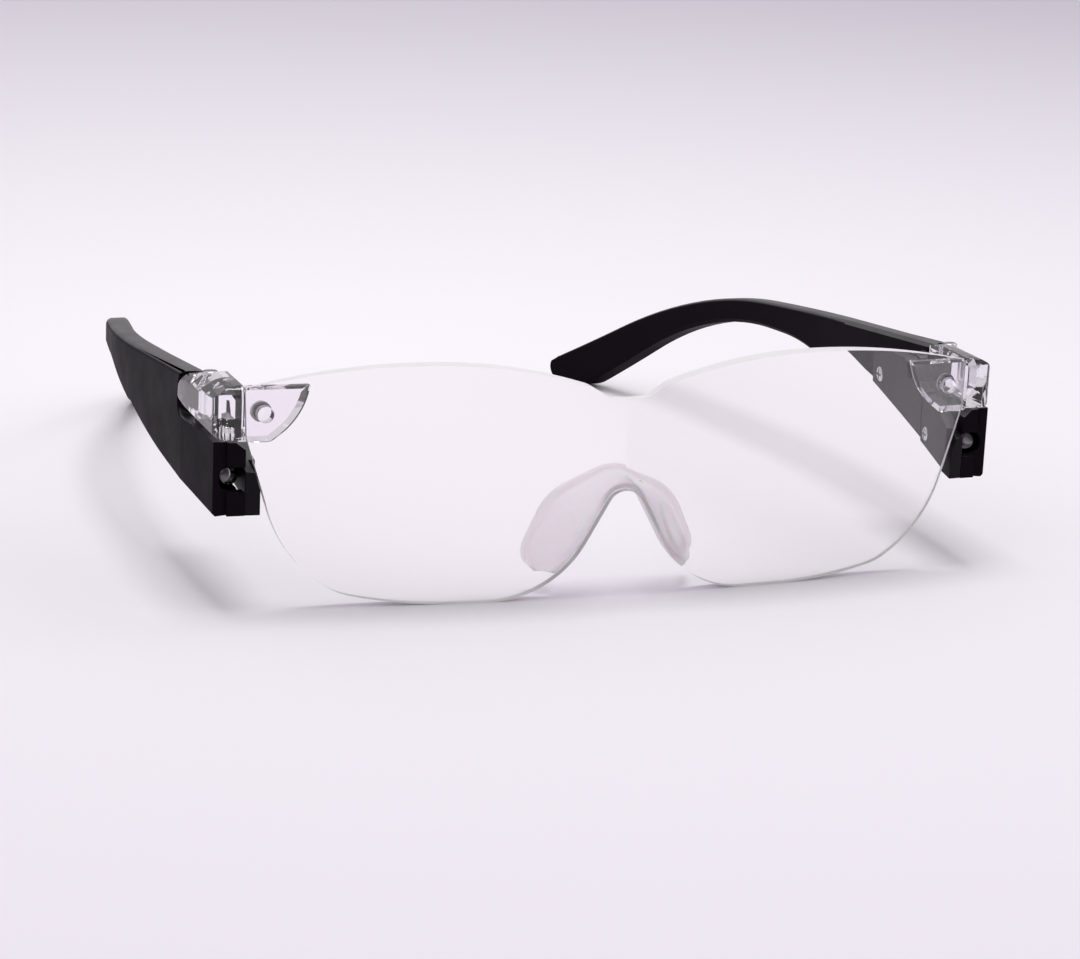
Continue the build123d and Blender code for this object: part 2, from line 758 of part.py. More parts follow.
# Temple: arm, hinge knuckle and the outer shell of the housing
with BuildPart() as temple:
    with BuildSketch(side_plane(arm_curve_x(temple_reach, arm_thickness) - overrun)):
        rounded_face(arm_side_corners())
    extrude(amount=half_width)
    with BuildSketch(level_plane(-overrun)):
        arm_plan(arm_inner_x, arm_thickness)
    extrude(amount=lens_height, mode=Mode.INTERSECT)
    chamfer([edge for edge in temple.edges() if on_arm_top(edge)], arm_top_chamfer)
    # Housing shell standing inwards from the arm
    with BuildSketch(side_plane(housing_inner_x)):
        rounded_face(housing_corners())
    extrude(amount=arm_inner_x - housing_inner_x + housing_wall)
    add(underside_room(0), mode=Mode.SUBTRACT)
    add(front_room.part, mode=Mode.SUBTRACT)
    # Bays for the board and for the cells, and the channel between them
    with BuildSketch(side_plane(housing_inner_x)):
        rounded_face(board_bay_corners())
        with Locations(cell_place):
            Circle(cell_diameter / 2 + cell_gap)
    extrude(amount=bay_outer_x - housing_inner_x, mode=Mode.SUBTRACT)
    with BuildSketch(side_plane(housing_inner_x)):
        with Locations(((bay_rear_y + cell_place[0]) / 2, cell_place[1])):
            Rectangle(cell_place[0] - bay_rear_y + overrun, channel_width)
    extrude(amount=arm_inner_x - housing_inner_x, mode=Mode.SUBTRACT)
    # Boss for the front cover screw, standing on the floor of the bay
    with BuildSketch(side_plane(housing_inner_x)):
        with Locations(screw_places[0]):
            Circle(screw_boss_diameter / 2)
        with Locations((screw_places[0][0], (screw_places[0][1] + bay_front_floor_z) / 2)):
            Rectangle(screw_boss_diameter, screw_places[0][1] - bay_front_floor_z)
    extrude(amount=board_inner_x - housing_inner_x - seat_gap)
    # Lamp slot in the front, open inwards
    with BuildSketch(face_plane(cover_front_y)):
        with Locations((lamp_x, lamp_z)):
            Circle(lamp_slot_width / 2)
        with Locations(((lamp_x + cover_inner_x) / 2, lamp_z)):
            Rectangle(lamp_x - cover_inner_x, lamp_slot_width)
    extrude(amount=-(housing_front_y - cover_front_y + housing_wall + overrun), mode=Mode.SUBTRACT)
    # Button slot in the underside
    with BuildSketch(level_plane(0)):
        with Locations((button_x, switch_y)):
            SlotOverall(button_length + 2 * button_gap, button_width + 2 * button_gap, rotation=90)
    extrude(amount=bay_floor_z + overrun, mode=Mode.SUBTRACT)
    # Pilot holes for the cover screws
    with BuildSketch(side_plane(cover_inner_x)):
        with Locations(*screw_places):
            Circle(screw_diameter / 2 + pin_gap)
    extrude(amount=screw_length + seat_gap, mode=Mode.SUBTRACT)
    add(block_room.part, mode=Mode.SUBTRACT)
    add(lens_room.part, mode=Mode.SUBTRACT)
    add(brow_room.part, mode=Mode.SUBTRACT)
    # Knuckle between the leaves of the end piece
    with BuildSketch(level_plane(leaf_slot_bottom_z + lug_play)):
        with Locations(hinge_centre):
            Circle(lug_radius)
        with Locations((hinge_x, (hinge_y + lug_root_y) / 2)):
            Rectangle(2 * lug_radius, lug_root_y - hinge_y)
    extrude(amount=leaf_slot_top_z - leaf_slot_bottom_z - 2 * lug_play)
    with BuildSketch(level_plane(leaf_slot_bottom_z)):
        with Locations(hinge_centre):
            Circle(hinge_screw_diameter / 2 + pin_gap)
    extrude(amount=leaf_slot_top_z - leaf_slot_bottom_z, mode=Mode.SUBTRACT)

export_pair(temple, "temple")


def make_cover(corners, inset, screw_place):
    """Inner cover: a lid with a recess, a screw hole with a boss round it and a countersink."""
    with BuildPart() as cover:
        with BuildSketch(side_plane(cover_inner_x)):
            rounded_face(corners)
        extrude(amount=housing_inner_x - cover_inner_x)
        with BuildSketch(side_plane(cover_inner_x + cover_wall)):
            rounded_face(corners)
            offset(amount=-cover_rim)
            with Locations(screw_place):
                Circle(screw_boss_diameter / 2 + cover_rim / 2, mode=Mode.SUBTRACT)
        extrude(amount=housing_inner_x - cover_inner_x - cover_wall, mode=Mode.SUBTRACT)
        add(underside_room(inset), mode=Mode.SUBTRACT)
        add(front_room.part, mode=Mode.SUBTRACT)
        add(lens_room.part, mode=Mode.SUBTRACT)
        with BuildSketch(side_plane(cover_inner_x)):
            with Locations(screw_place):
                Circle(screw_diameter / 2 + pin_gap)
        extrude(amount=housing_inner_x - cover_inner_x, mode=Mode.SUBTRACT)
        with BuildSketch(side_plane(cover_inner_x)):
            with Locations(screw_place):
                Circle(screw_head_diameter / 2 + pin_gap)
        extrude(amount=screw_head_depth - screw_head_proud, mode=Mode.SUBTRACT)
    return cover


led_cover = make_cover(cover_corners(), 0, screw_places[0])
export_pair(led_cover, "led_cover")

battery_door = make_cover(door_corners(), door_step, screw_places[1])
export_pair(battery_door, "battery_door")

# Screws of both inner covers
with BuildPart() as cover_screws:
    with BuildSketch(side_plane(cover_inner_x - screw_head_proud)):
        with Locations(*screw_places):
            Circle(screw_head_diameter / 2)
    extrude(amount=screw_head_depth)
    with BuildSketch(side_plane(cover_inner_x - screw_head_proud + screw_head_depth)):
        with Locations(*screw_places):
            Circle(screw_diameter / 2)
    extrude(amount=screw_length - screw_head_depth)

export_pair(cover_screws, "cover_screws")

# Lamp: domed lens and flange turned as one, and two leads
with BuildPart() as lamp:
    with BuildSketch(side_plane(lamp_x)):
        with BuildLine():
            lamp_radius = lamp_diameter / 2
            lamp_rear_y = lamp_front_y + lamp_length
            dome_end = (lamp_front_y + lamp_radius, lamp_z + lamp_radius)
            RadiusArc((lamp_front_y, lamp_z), dome_end, lamp_radius)
            Polyline(
                dome_end,
                (lamp_rear_y - lamp_flange_depth, lamp_z + lamp_radius),
                (lamp_rear_y - lamp_flange_depth, lamp_z + lamp_flange_diameter / 2),
                (lamp_rear_y, lamp_z + lamp_flange_diameter / 2),
                (lamp_rear_y, lamp_z),
                (lamp_front_y, lamp_z),
            )
        make_face()
    revolve(axis=Axis((lamp_x, 0, lamp_z), (0, 1, 0)))
    with BuildSketch(face_plane(lamp_rear_y)):
        with Locations((lamp_x, lamp_z)):
            with GridLocations(lamp_lead_spacing, 0, 2, 1):
                Rectangle(lamp_lead, lamp_lead)
    extrude(amount=-lamp_lead_length)

export_pair(lamp, "led")

# Circuit board with its rear edge cut on a slant over the bay floor
with BuildPart() as circuit_board:
    with BuildSketch(side_plane(board_inner_x)):
        rounded_face([
            (board_front_y, board_bottom_z, 0),
            (board_front_y, board_top_z, 0),
            (board_rear_y, board_top_z, 0),
            (board_rear_y, bay_rear_floor_z + seat_gap, 0),
            (switch_y + switch_width / 2, board_bottom_z, 0),
        ])
    extrude(amount=board_thickness)

export_pair(circuit_board, "circuit_board")

# Resistor for the lamp
with BuildPart() as resistor:
    with BuildSketch(side_plane(board_inner_x)):
        with Locations(resistor_place):
            Rectangle(resistor_length, resistor_width)
    extrude(amount=-resistor_height)

export_pair(resistor, "resistor")

# Push switch over the button
switch_bottom_z = bay_floor_z + button_lip + button_travel + seat_gap / 2
with BuildPart() as switch_body:
    with BuildSketch(level_plane(switch_bottom_z)):
        with Locations((board_inner_x - switch_depth / 2, switch_y)):
            Rectangle(switch_depth, switch_width)
    extrude(amount=switch_height)

export_pair(switch_body, "switch_body")

# Power button: a bar through the underside, held in by a lip at each end
with BuildPart() as power_button:
    with BuildSketch(level_plane(button_bottom_z)):
        with Locations((button_x, switch_y)):
            SlotOverall(button_length, button_width, rotation=90)
    extrude(amount=bay_floor_z + pin_gap + button_lip - button_bottom_z)
    with BuildSketch(level_plane(bay_floor_z + pin_gap)):
        with Locations((button_x, switch_y)):
            SlotOverall(button_length + 2 * button_flange, button_width, rotation=90)
    extrude(amount=button_lip)

export_pair(power_button, "power_button")

# Two cells, one on the other
with BuildPart() as button_cells:
    for place in range(2):
        outer_x = bay_outer_x - contact_thickness - place * cell_thickness
        with BuildSketch(side_plane(outer_x)):
            with Locations(cell_place):
                Circle(cell_diameter / 2)
        extrude(amount=-cell_thickness)
    chamfer(button_cells.edges().filter_by(GeomType.CIRCLE), cell_edge)

export_pair(button_cells, "button_cells")

# Contact plate behind the outer cell
with BuildPart() as contact_plate:
    with BuildSketch(side_plane(bay_outer_x)):
        with Locations(cell_place):
            Rectangle(contact_length, contact_width)
    extrude(amount=-contact_thickness)

export_pair(contact_plate, "contact_plate")

# Contact spring: a bowed strip between the door and the inner cell
door_floor_x = cover_inner_x + cover_wall
inner_cell_x = bay_outer_x - contact_thickness - 2 * cell_thickness
with BuildPart() as contact_spring:
    with BuildSketch(level_plane(cell_place[1] - contact_width / 2)):
        with BuildLine():
            ends = [(door_floor_x, cell_place[0] - contact_length / 2),
                    (door_floor_x, cell_place[0] + contact_length / 2)]
            crest = (inner_cell_x - contact_thickness, cell_place[0])
            inner = ThreePointArc(ends[0], crest, ends[1])
            Line(ends[1], (ends[1][0] + contact_thickness, ends[1][1]))
            ThreePointArc(
                (ends[1][0] + contact_thickness, ends[1][1]),
                (inner_cell_x, cell_place[0]),
                (ends[0][0] + contact_thickness, ends[0][1]),
            )
            Line((ends[0][0] + contact_thickness, ends[0][1]), ends[0])
        make_face()
    extrude(amount=contact_width)

export_pair(contact_spring, "contact_spring")

# Silicone nose saddle: a flaring arch behind the notch, and a leaning pad each side
with BuildPart() as nose_saddle:
    with BuildSketch(face_plane(saddle_front_y)):
        rounded_face(saddle_front_corners())
    with BuildSketch(face_plane(saddle_rear_y)):
        rounded_face(saddle_rear_corners())
    loft()
    for side in (1, -1):
        with BuildSketch(pad_plane(side)):
            SlotOverall(pad_length, pad_width)
        extrude(amount=pad_thickness)
    add(back_bulges(saddle_gap), mode=Mode.SUBTRACT)

nose_saddle.part.label = "nose_saddle"
export_step(nose_saddle.part, "parts/nose_saddle.step")
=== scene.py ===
"""Looks of the lighted magnifier glasses: clear lens, black temples, silicone saddle and lamps.

Everything is in metres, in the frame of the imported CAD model: -Y is the front of the lens, +Y runs to the
ears and +Z is up. Pieces that replace a CAD node keep its place and ride on the same body.
"""
import json
import math

import bmesh
import bpy
from mathutils import Matrix, Vector


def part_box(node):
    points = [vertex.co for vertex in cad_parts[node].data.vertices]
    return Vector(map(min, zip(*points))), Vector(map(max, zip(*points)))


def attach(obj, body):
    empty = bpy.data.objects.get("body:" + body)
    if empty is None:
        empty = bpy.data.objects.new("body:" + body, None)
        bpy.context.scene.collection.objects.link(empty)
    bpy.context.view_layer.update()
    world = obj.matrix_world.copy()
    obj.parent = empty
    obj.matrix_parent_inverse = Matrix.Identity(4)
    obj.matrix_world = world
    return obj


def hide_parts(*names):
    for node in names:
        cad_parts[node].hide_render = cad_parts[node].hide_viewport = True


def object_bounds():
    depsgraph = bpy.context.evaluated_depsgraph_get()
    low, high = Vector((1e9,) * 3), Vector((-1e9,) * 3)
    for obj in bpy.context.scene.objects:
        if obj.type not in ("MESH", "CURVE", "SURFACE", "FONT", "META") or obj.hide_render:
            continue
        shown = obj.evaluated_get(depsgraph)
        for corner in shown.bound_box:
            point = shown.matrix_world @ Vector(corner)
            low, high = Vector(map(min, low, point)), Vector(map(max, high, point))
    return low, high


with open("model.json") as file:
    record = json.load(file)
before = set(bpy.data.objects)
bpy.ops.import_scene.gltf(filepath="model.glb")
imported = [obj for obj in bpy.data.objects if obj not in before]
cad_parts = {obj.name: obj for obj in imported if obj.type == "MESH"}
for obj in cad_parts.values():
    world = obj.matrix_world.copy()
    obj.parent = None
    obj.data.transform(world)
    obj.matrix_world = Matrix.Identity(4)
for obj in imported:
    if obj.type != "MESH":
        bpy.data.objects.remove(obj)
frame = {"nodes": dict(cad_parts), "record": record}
cad_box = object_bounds()

bl_info = {
    "name": "Lighted Magnifier Glasses",
    "version": (1, 0, 0),
    "blender": (4, 5, 0),
    "location": "View3D > Sidebar > Glasses",
    "description": "Builds the looks of folding magnifier glasses with a lamp in each temple",
    "category": "Object",
}

MM = 0.001
SIDES = (("left", 1), ("right", -1))
FRONT_Y = cad_box[0].y
BODY_OF = {n: body for body, nodes in frame["record"]["behaviour"]["bodies"].items() for n in nodes}
# Faces above this area in square metres are flat walls, shaded flat
WIDE_FLAT = 2e-4
# Corners of a CAD mesh closer than this in metres are one corner
JOINED = 1e-6


# Small helpers

def linear(hex_colour):
    """Linear RGBA of an sRGB hex colour."""
    channels = [int(hex_colour[i:i + 2], 16) / 255 for i in (1, 3, 5)]
    return tuple(c / 12.92 if c <= 0.04045 else ((c + 0.055) / 1.055) ** 2.4 for c in channels) + (1.0,)


def per_mm(size):
    """Texture scale whose features are about this many millimetres across."""
    return 1.0 / (size * MM)


def colour_setting(name, description, hex_colour):
    """Colour property with an alpha."""
    return bpy.props.FloatVectorProperty(
        name=name, description=description, default=linear(hex_colour), subtype="COLOR", size=4, min=0, max=1,
    )


def length_setting(name, description, millimetres):
    """Length property, stored in metres."""
    return bpy.props.FloatProperty(
        name=name, description=description, default=millimetres * MM, min=0, unit="LENGTH", precision=5
    )


def number_setting(name, description, value):
    """Plain number property."""
    return bpy.props.FloatProperty(name=name, description=description, default=value)


def angle_setting(name, description, degrees):
    """Angle property, stored in radians."""
    return bpy.props.FloatProperty(
        name=name, description=description, default=math.radians(degrees), subtype="ANGLE"
    )


def settings():
    """The values in the sidebar."""
    return bpy.context.scene.magnifier_glasses


# Meshes

def new_object(name, bm):
    """New object in the scene that holds a bmesh."""
    mesh = bpy.data.meshes.new(name)
    bm.to_mesh(mesh)
    item = bpy.data.objects.new(name, mesh)
    bpy.context.scene.collection.objects.link(item)
    return item


def write_piece(name, bm, material, nodes, sharp_angle=math.radians(30)):
    """Turns a bmesh into a smooth-shaded piece that stands for CAD nodes and rides on their body."""
    bmesh.ops.recalc_face_normals(bm, faces=bm.faces)
    for face in bm.faces:
        face.smooth = face.calc_area() < WIDE_FLAT
    for edge in bm.edges:
        if len(edge.link_faces) == 2 and edge.calc_face_angle() > sharp_angle:
            edge.smooth = False
    piece = new_object(name, bm)
    bm.free()
    piece.data.materials.append(material)
    even = piece.modifiers.new("Even shading", "WEIGHTED_NORMAL")
    even.keep_sharp = True
    even.weight = 80
    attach(piece, BODY_OF[nodes[0]])
    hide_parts(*nodes)
    return piece


def merged_copy(node):
    """Copy of a CAD node's mesh with its corners joined and its flat faces made whole."""
    bm = bmesh.new()
    bm.from_mesh(frame["nodes"][node].data)
    bmesh.ops.remove_doubles(bm, verts=bm.verts, dist=JOINED)
    bmesh.ops.dissolve_degenerate(bm, edges=bm.edges, dist=2 * JOINED)
    bmesh.ops.dissolve_limit(bm, angle_limit=math.radians(0.5), verts=bm.verts, edges=bm.edges)
    return bm


def ease_edges(bm, width, segments=2, from_angle=math.radians(38), keep=None, clamp=True):
    """Rounds the edges that turn by more than an angle, where keep says so, and leaves tiny ones sharp."""
    edges = [
        edge for edge in bm.edges
        if len(edge.link_faces) == 2
        and edge.calc_face_angle() > from_angle
        and edge.calc_length() > width / 4
        and (keep is None or keep(edge))
    ]
    bmesh.ops.bevel(
        bm, geom=edges, offset=width, offset_type="OFFSET", segments=segments, profile=0.5,
        affect="EDGES", clamp_overlap=clamp, material=-1,
    )


def cut_away(bm, tool):
    """Takes the volume of one bmesh out of another and frees the tool. The tool mustn't cross itself."""
    blank, cutter = new_object("blank", bm), new_object("tool", tool)
    cut = blank.modifiers.new("Cut", "BOOLEAN")
    cut.operation = "DIFFERENCE"
    cut.object = cutter
    cut.solver = "EXACT"
    tool.free()
    bm.clear()
    bm.from_object(blank, bpy.context.evaluated_depsgraph_get())
    for item in (blank, cutter):
        bpy.data.objects.remove(item)


def eased_pair(stem, material, width, segments=2):
    """Both sides of a mirrored CAD part, with eased edges."""
    for side, _ in SIDES:
        node = f"{stem}_{side}"
        bm = merged_copy(node)
        ease_edges(bm, width, segments)
        write_piece(f"{node}_finish", bm, material, [node])


def turned(bm, place, way, profile, segments=40):
    """Spins a profile of (along, radius) points in mm about an axis through a place and joins its ends."""
    way = way.normalized()
    across = way.orthogonal().normalized()
    verts = [bm.verts.new(place + way * a * MM + across * r * MM) for a, r in profile]
    edges = [bm.edges.new(pair) for pair in zip(verts, verts[1:])]
    bmesh.ops.spin(
        bm, geom=verts + edges, cent=place, axis=way, angle=math.tau, steps=segments, use_merge=True,
        use_duplicate=False,
    )
    bmesh.ops.remove_doubles(bm, verts=bm.verts, dist=JOINED / 10)


def scaled_mm(size):
    """Matrix that scales a unit shape to a size in mm."""
    return Matrix.Diagonal((*(length * MM for length in size), 1))


def box_at(bm, middle, size):
    """Adds a box of a size in mm round a middle point."""
    bmesh.ops.create_cube(bm, size=1, matrix=Matrix.Translation(middle) @ scaled_mm(size))


# Materials

def new_material(name):
    """Empty node material and its tree."""
    material = bpy.data.materials.new(name)
    material.use_nodes = True
    material.node_tree.nodes.clear()
    return material, material.node_tree


def add_node(tree, kind, links=None, **values):
    """Adds a node. Values go to its sockets or settings, and links join other nodes' sockets to its own."""
    node = tree.nodes.new(kind)
    for key, value in values.items():
        if key in node.inputs:
            node.inputs[key].default_value = value
        else:
            setattr(node, key, value)
    for socket, source in (links or {}).items():
        tree.links.new(source, node.inputs[socket])
    return node


def moulded_black(name, colour, sheen_colour, roughness, grain_mm, painted_side_sheen):
    """ABS moulded in a lightly eroded tool: black with a fine grain, with a painted sheen on faces that look
    up and painted shade on the sides.
    """
    material, tree = new_material(name)
    place = add_node(tree, "ShaderNodeTexCoord")
    marks = add_node(
        tree, "ShaderNodeTexNoise", {"Vector": place.outputs["Object"]},
        **{"Scale": per_mm(9), "Detail": 3.0, "Roughness": 0.5},
    )
    satin = add_node(
        tree, "ShaderNodeMapRange", {"Value": marks.outputs["Fac"]},
        **{"From Min": 0.3, "From Max": 0.7, "To Min": roughness - 0.05, "To Max": roughness + 0.05},
    )
    tint = add_node(tree, "ShaderNodeMix", {"Factor": marks.outputs["Fac"]}, data_type="RGBA")
    tint.inputs[6].default_value = colour
    tint.inputs[7].default_value = sheen_colour
    # Tool grain is 0.05 mm in truth and is drawn coarser so that it shows
    grain = add_node(
        tree, "ShaderNodeTexNoise", {"Vector": place.outputs["Object"]},
        **{"Scale": per_mm(grain_mm), "Detail": 2.0, "Roughness": 0.6},
    )
    relief = add_node(
        tree, "ShaderNodeBump", {"Height": grain.outputs["Fac"]},
        **{"Strength": 0.12, "Distance": 0.03 * MM},
    )
    # Painted sheen and shade: faces that look up reflect far more than the sides, standing in for how the
    # overhead light falls
    facing = add_node(tree, "ShaderNodeSeparateXYZ", {"Vector": place.outputs["Normal"]})
    painted_top_sheen = add_node(
        tree, "ShaderNodeMapRange", {"Value": facing.outputs["Z"]},
        **{"From Min": 0.5, "From Max": 0.9, "To Min": painted_side_sheen, "To Max": 0.9},
    )
    surface = add_node(
        tree, "ShaderNodeBsdfPrincipled",
        {"Base Color": tint.outputs[2], "Roughness": satin.outputs["Result"],
         "Specular IOR Level": painted_top_sheen.outputs["Result"], "Normal": relief.outputs["Normal"]},
        **{"IOR": 1.5},
    )
    add_node(tree, "ShaderNodeOutputMaterial", {"Surface": surface.outputs["BSDF"]})
    return material


def clear_polycarbonate(name, colour, roughness):
    """Injection-moulded polycarbonate: water clear, high index, with faint flow lines in its gloss."""
    material, tree = new_material(name)
    place = add_node(tree, "ShaderNodeTexCoord")
    flow = add_node(
        tree, "ShaderNodeTexNoise", {"Vector": place.outputs["Object"]},
        **{"Scale": per_mm(14), "Detail": 2.0, "Distortion": 0.6},
    )
    gloss = add_node(
        tree, "ShaderNodeMapRange", {"Value": flow.outputs["Fac"]},
        **{"From Min": 0.35, "From Max": 0.75, "To Min": roughness * 0.4, "To Max": roughness * 1.6},
    )
    surface = add_node(
        tree, "ShaderNodeBsdfPrincipled", {"Roughness": gloss.outputs["Result"]},
        **{"Base Color": colour, "IOR": 1.586, "Transmission Weight": 1.0},
    )
    add_node(tree, "ShaderNodeOutputMaterial", {"Surface": surface.outputs["BSDF"]})
    return material


def satin_edge(name, colour):
    """Trimmed edge of the sheet: clear inside, its fine tool marks turn it pale."""
    # The index is below polycarbonate's, so that the edge mirrors less of the dim side of the room
    material, tree = new_material(name)
    place = add_node(tree, "ShaderNodeTexCoord")
    marks = add_node(
        tree, "ShaderNodeTexNoise", {"Vector": place.outputs["Object"]},
        **{"Scale": per_mm(3), "Detail": 3.0},
    )
    gloss = add_node(
        tree, "ShaderNodeMapRange", {"Value": marks.outputs["Fac"]}, **{"To Min": 0.2, "To Max": 0.5}
    )
    surface = add_node(
        tree, "ShaderNodeBsdfPrincipled", {"Roughness": gloss.outputs["Result"]},
        **{"Base Color": colour, "IOR": 1.3, "Transmission Weight": 0.25},
    )
    add_node(tree, "ShaderNodeOutputMaterial", {"Surface": surface.outputs["BSDF"]})
    return material


def milky_silicone(name, colour, milk):
    """Platinum-cured silicone rubber: milky, soft satin, light passes but no sharp shape does."""
    # The index is below silicone's 1.41, so that the thin skin stays pale round its edges
    material, tree = new_material(name)
    place = add_node(tree, "ShaderNodeTexCoord")
    cloud = add_node(
        tree, "ShaderNodeTexNoise", {"Vector": place.outputs["Object"]},
        **{"Scale": per_mm(5), "Detail": 3.0},
    )
    satin = add_node(
        tree, "ShaderNodeMapRange", {"Value": cloud.outputs["Fac"]}, **{"To Min": 0.22, "To Max": 0.42}
    )
    tint = add_node(tree, "ShaderNodeMix", {"Factor": cloud.outputs["Fac"]}, data_type="RGBA")
    tint.inputs[6].default_value = colour
    tint.inputs[7].default_value = milk
    surface = add_node(
        tree, "ShaderNodeBsdfPrincipled",
        {"Base Color": tint.outputs[2], "Roughness": satin.outputs["Result"]},
        **{"IOR": 1.16, "Transmission Weight": 0.8, "Subsurface Weight": 0.8, "Subsurface Scale": 3 * MM},
    )
    add_node(tree, "ShaderNodeOutputMaterial", {"Surface": surface.outputs["BSDF"]})
    return material


def turned_metal(name, colour, roughness, mark_mm=0.12):
    """Metal faced on a lathe or pressed from strip: fine tool marks in its gloss."""
    material, tree = new_material(name)
    place = add_node(tree, "ShaderNodeTexCoord")
    marks = add_node(
        tree, "ShaderNodeTexNoise", {"Vector": place.outputs["Object"]},
        **{"Scale": per_mm(mark_mm), "Detail": 2.0},
    )
    gloss = add_node(
        tree, "ShaderNodeMapRange", {"Value": marks.outputs["Fac"]},
        **{"To Min": roughness - 0.08, "To Max": roughness + 0.1},
    )
    relief = add_node(
        tree, "ShaderNodeBump", {"Height": marks.outputs["Fac"]},
        **{"Strength": 0.1, "Distance": 0.01 * MM},
    )
    surface = add_node(
        tree, "ShaderNodeBsdfPrincipled",
        {"Roughness": gloss.outputs["Result"], "Normal": relief.outputs["Normal"]},
        **{"Base Color": colour, "Metallic": 1.0},
    )
    add_node(tree, "ShaderNodeOutputMaterial", {"Surface": surface.outputs["BSDF"]})
    return material


def clear_epoxy(name, colour):
    """Cast epoxy of a lamp: clear, a little warmer and softer than the lens."""
    material, tree = new_material(name)
    place = add_node(tree, "ShaderNodeTexCoord")
    haze = add_node(
        tree, "ShaderNodeTexNoise", {"Vector": place.outputs["Object"]},
        **{"Scale": per_mm(1.2), "Detail": 2.0},
    )
    gloss = add_node(
        tree, "ShaderNodeMapRange", {"Value": haze.outputs["Fac"]}, **{"To Min": 0.02, "To Max": 0.08}
    )
    surface = add_node(
        tree, "ShaderNodeBsdfPrincipled", {"Roughness": gloss.outputs["Result"]},
        **{"Base Color": colour, "IOR": 1.54, "Transmission Weight": 1.0},
    )
    add_node(tree, "ShaderNodeOutputMaterial", {"Surface": surface.outputs["BSDF"]})
    return material


def solder_mask(name, colour, copper):
    """Glass-fibre board under solder mask: glossy green, darker over its copper runs."""
    material, tree = new_material(name)
    place = add_node(tree, "ShaderNodeTexCoord")
    runs = add_node(
        tree, "ShaderNodeTexBrick", {"Vector": place.outputs["Object"]},
        **{"Scale": per_mm(2.4), "Mortar Size": 0.03, "Color1": colour, "Color2": colour, "Mortar": copper},
    )
    surface = add_node(
        tree, "ShaderNodeBsdfPrincipled", {"Base Color": runs.outputs["Color"]},
        **{"Roughness": 0.25, "IOR": 1.5},
    )
    add_node(tree, "ShaderNodeOutputMaterial", {"Surface": surface.outputs["BSDF"]})
    return material


def studio_paper(name, near, far, painted_light_y, painted_light_spread):
    """Seamless matt paper sweep: pale lavender, with painted light that makes it brightest round a middle and
    painted shade that greys it at a spread from it.
    """
    material, tree = new_material(name)
    place = add_node(tree, "ShaderNodeTexCoord")
    # Painted light: the paper is one colour, and its brightening round the middle and greying further off are
    # painted into it
    centred = add_node(
        tree, "ShaderNodeMapping", {"Vector": place.outputs["Object"]},
        **{"Location": (0, -painted_light_y / painted_light_spread, 0), "Scale": (1 / painted_light_spread, 1 / painted_light_spread, 1 / painted_light_spread)},
    )
    painted_light_pool = add_node(
        tree, "ShaderNodeTexGradient", {"Vector": centred.outputs["Vector"]}, gradient_type="SPHERICAL"
    )
    tint = add_node(tree, "ShaderNodeMix", {"Factor": painted_light_pool.outputs["Fac"]}, data_type="RGBA")
    tint.inputs[6].default_value = far
    tint.inputs[7].default_value = near
    fibre = add_node(
        tree, "ShaderNodeTexNoise", {"Vector": place.outputs["Object"]},
        **{"Scale": per_mm(1.5), "Detail": 3.0},
    )
    relief = add_node(
        tree, "ShaderNodeBump", {"Height": fibre.outputs["Fac"]},
        **{"Strength": 0.03, "Distance": 0.05 * MM},
    )
    surface = add_node(
        tree, "ShaderNodeBsdfPrincipled",
        {"Base Color": tint.outputs[2], "Normal": relief.outputs["Normal"]},
        **{"Roughness": 0.75, "Specular IOR Level": 0.15},
    )
    add_node(tree, "ShaderNodeOutputMaterial", {"Surface": surface.outputs["BSDF"]})
    return material


# Outlines

def rounded_outline(corners, spacing):
    """Points round a closed outline of (x, z, radius) corners, with arcs divided at a spacing."""
    points = []
    for i, (x, z, radius) in enumerate(corners):
        here = Vector((x, 0, z))
        before, after = corners[i - 1], corners[(i + 1) % len(corners)]
        back = (Vector((before[0], 0, before[1])) - here).normalized()
        ahead = (Vector((after[0], 0, after[1])) - here).normalized()
        half = back.angle(ahead) / 2
        reach = radius / math.tan(half)
        centre = here + (back + ahead).normalized() * (radius / math.sin(half))
        start = here + back * reach - centre
        end = here + ahead * reach - centre
        steps = max(3, math.ceil(radius * (math.pi - 2 * half) / spacing))
        points += [centre + start.slerp(end, k / steps) * radius for k in range(steps + 1)]
    return points


def between(outline, first, last):
    """Part of a closed outline, from the point nearest to first up to the one nearest to last."""
    start = min(range(len(outline)), key=lambda i: (outline[i] - first).length)
    shifted = outline[start:] + outline[:start]
    end = min(range(len(shifted)), key=lambda i: (shifted[i] - last).length)
    return shifted[:end + 1]


def along(line, share):
    """Point at a share of a line's length."""
    lengths = [(b - a).length for a, b in zip(line, line[1:])]
    left = share * sum(lengths)
    for i, length in enumerate(lengths):
        if left <= length or i == len(lengths) - 1:
            return line[i].lerp(line[i + 1], min(1.0, left / length if length else 0))
        left -= length


# Settings

class LensSettings(bpy.types.PropertyGroup):
    """Sizes of the clear lens."""

    front_radius: length_setting("Front radius", "Radius of the ball-shaped front", 420)
    back_radius: length_setting("Bulge radius", "Radius of the bulge behind each eye", 582)
    middle: length_setting("Middle thickness", "Thickness at the middle of each bulge", 4.2)
    eye_x: length_setting("Eye spacing", "Distance of each bulge's middle from the bridge", 32)
    eye_z: length_setting("Eye height", "Height of each bulge's middle above the table", 22)
    edge: length_setting("Edge rounding", "Rounding where both faces meet the edge", 0.22)
    columns: bpy.props.IntProperty(
        name="Columns", description="Faces along the lens", default=260, min=20
    )
    rows: bpy.props.IntProperty(name="Rows", description="Faces up the lens", default=40, min=8)


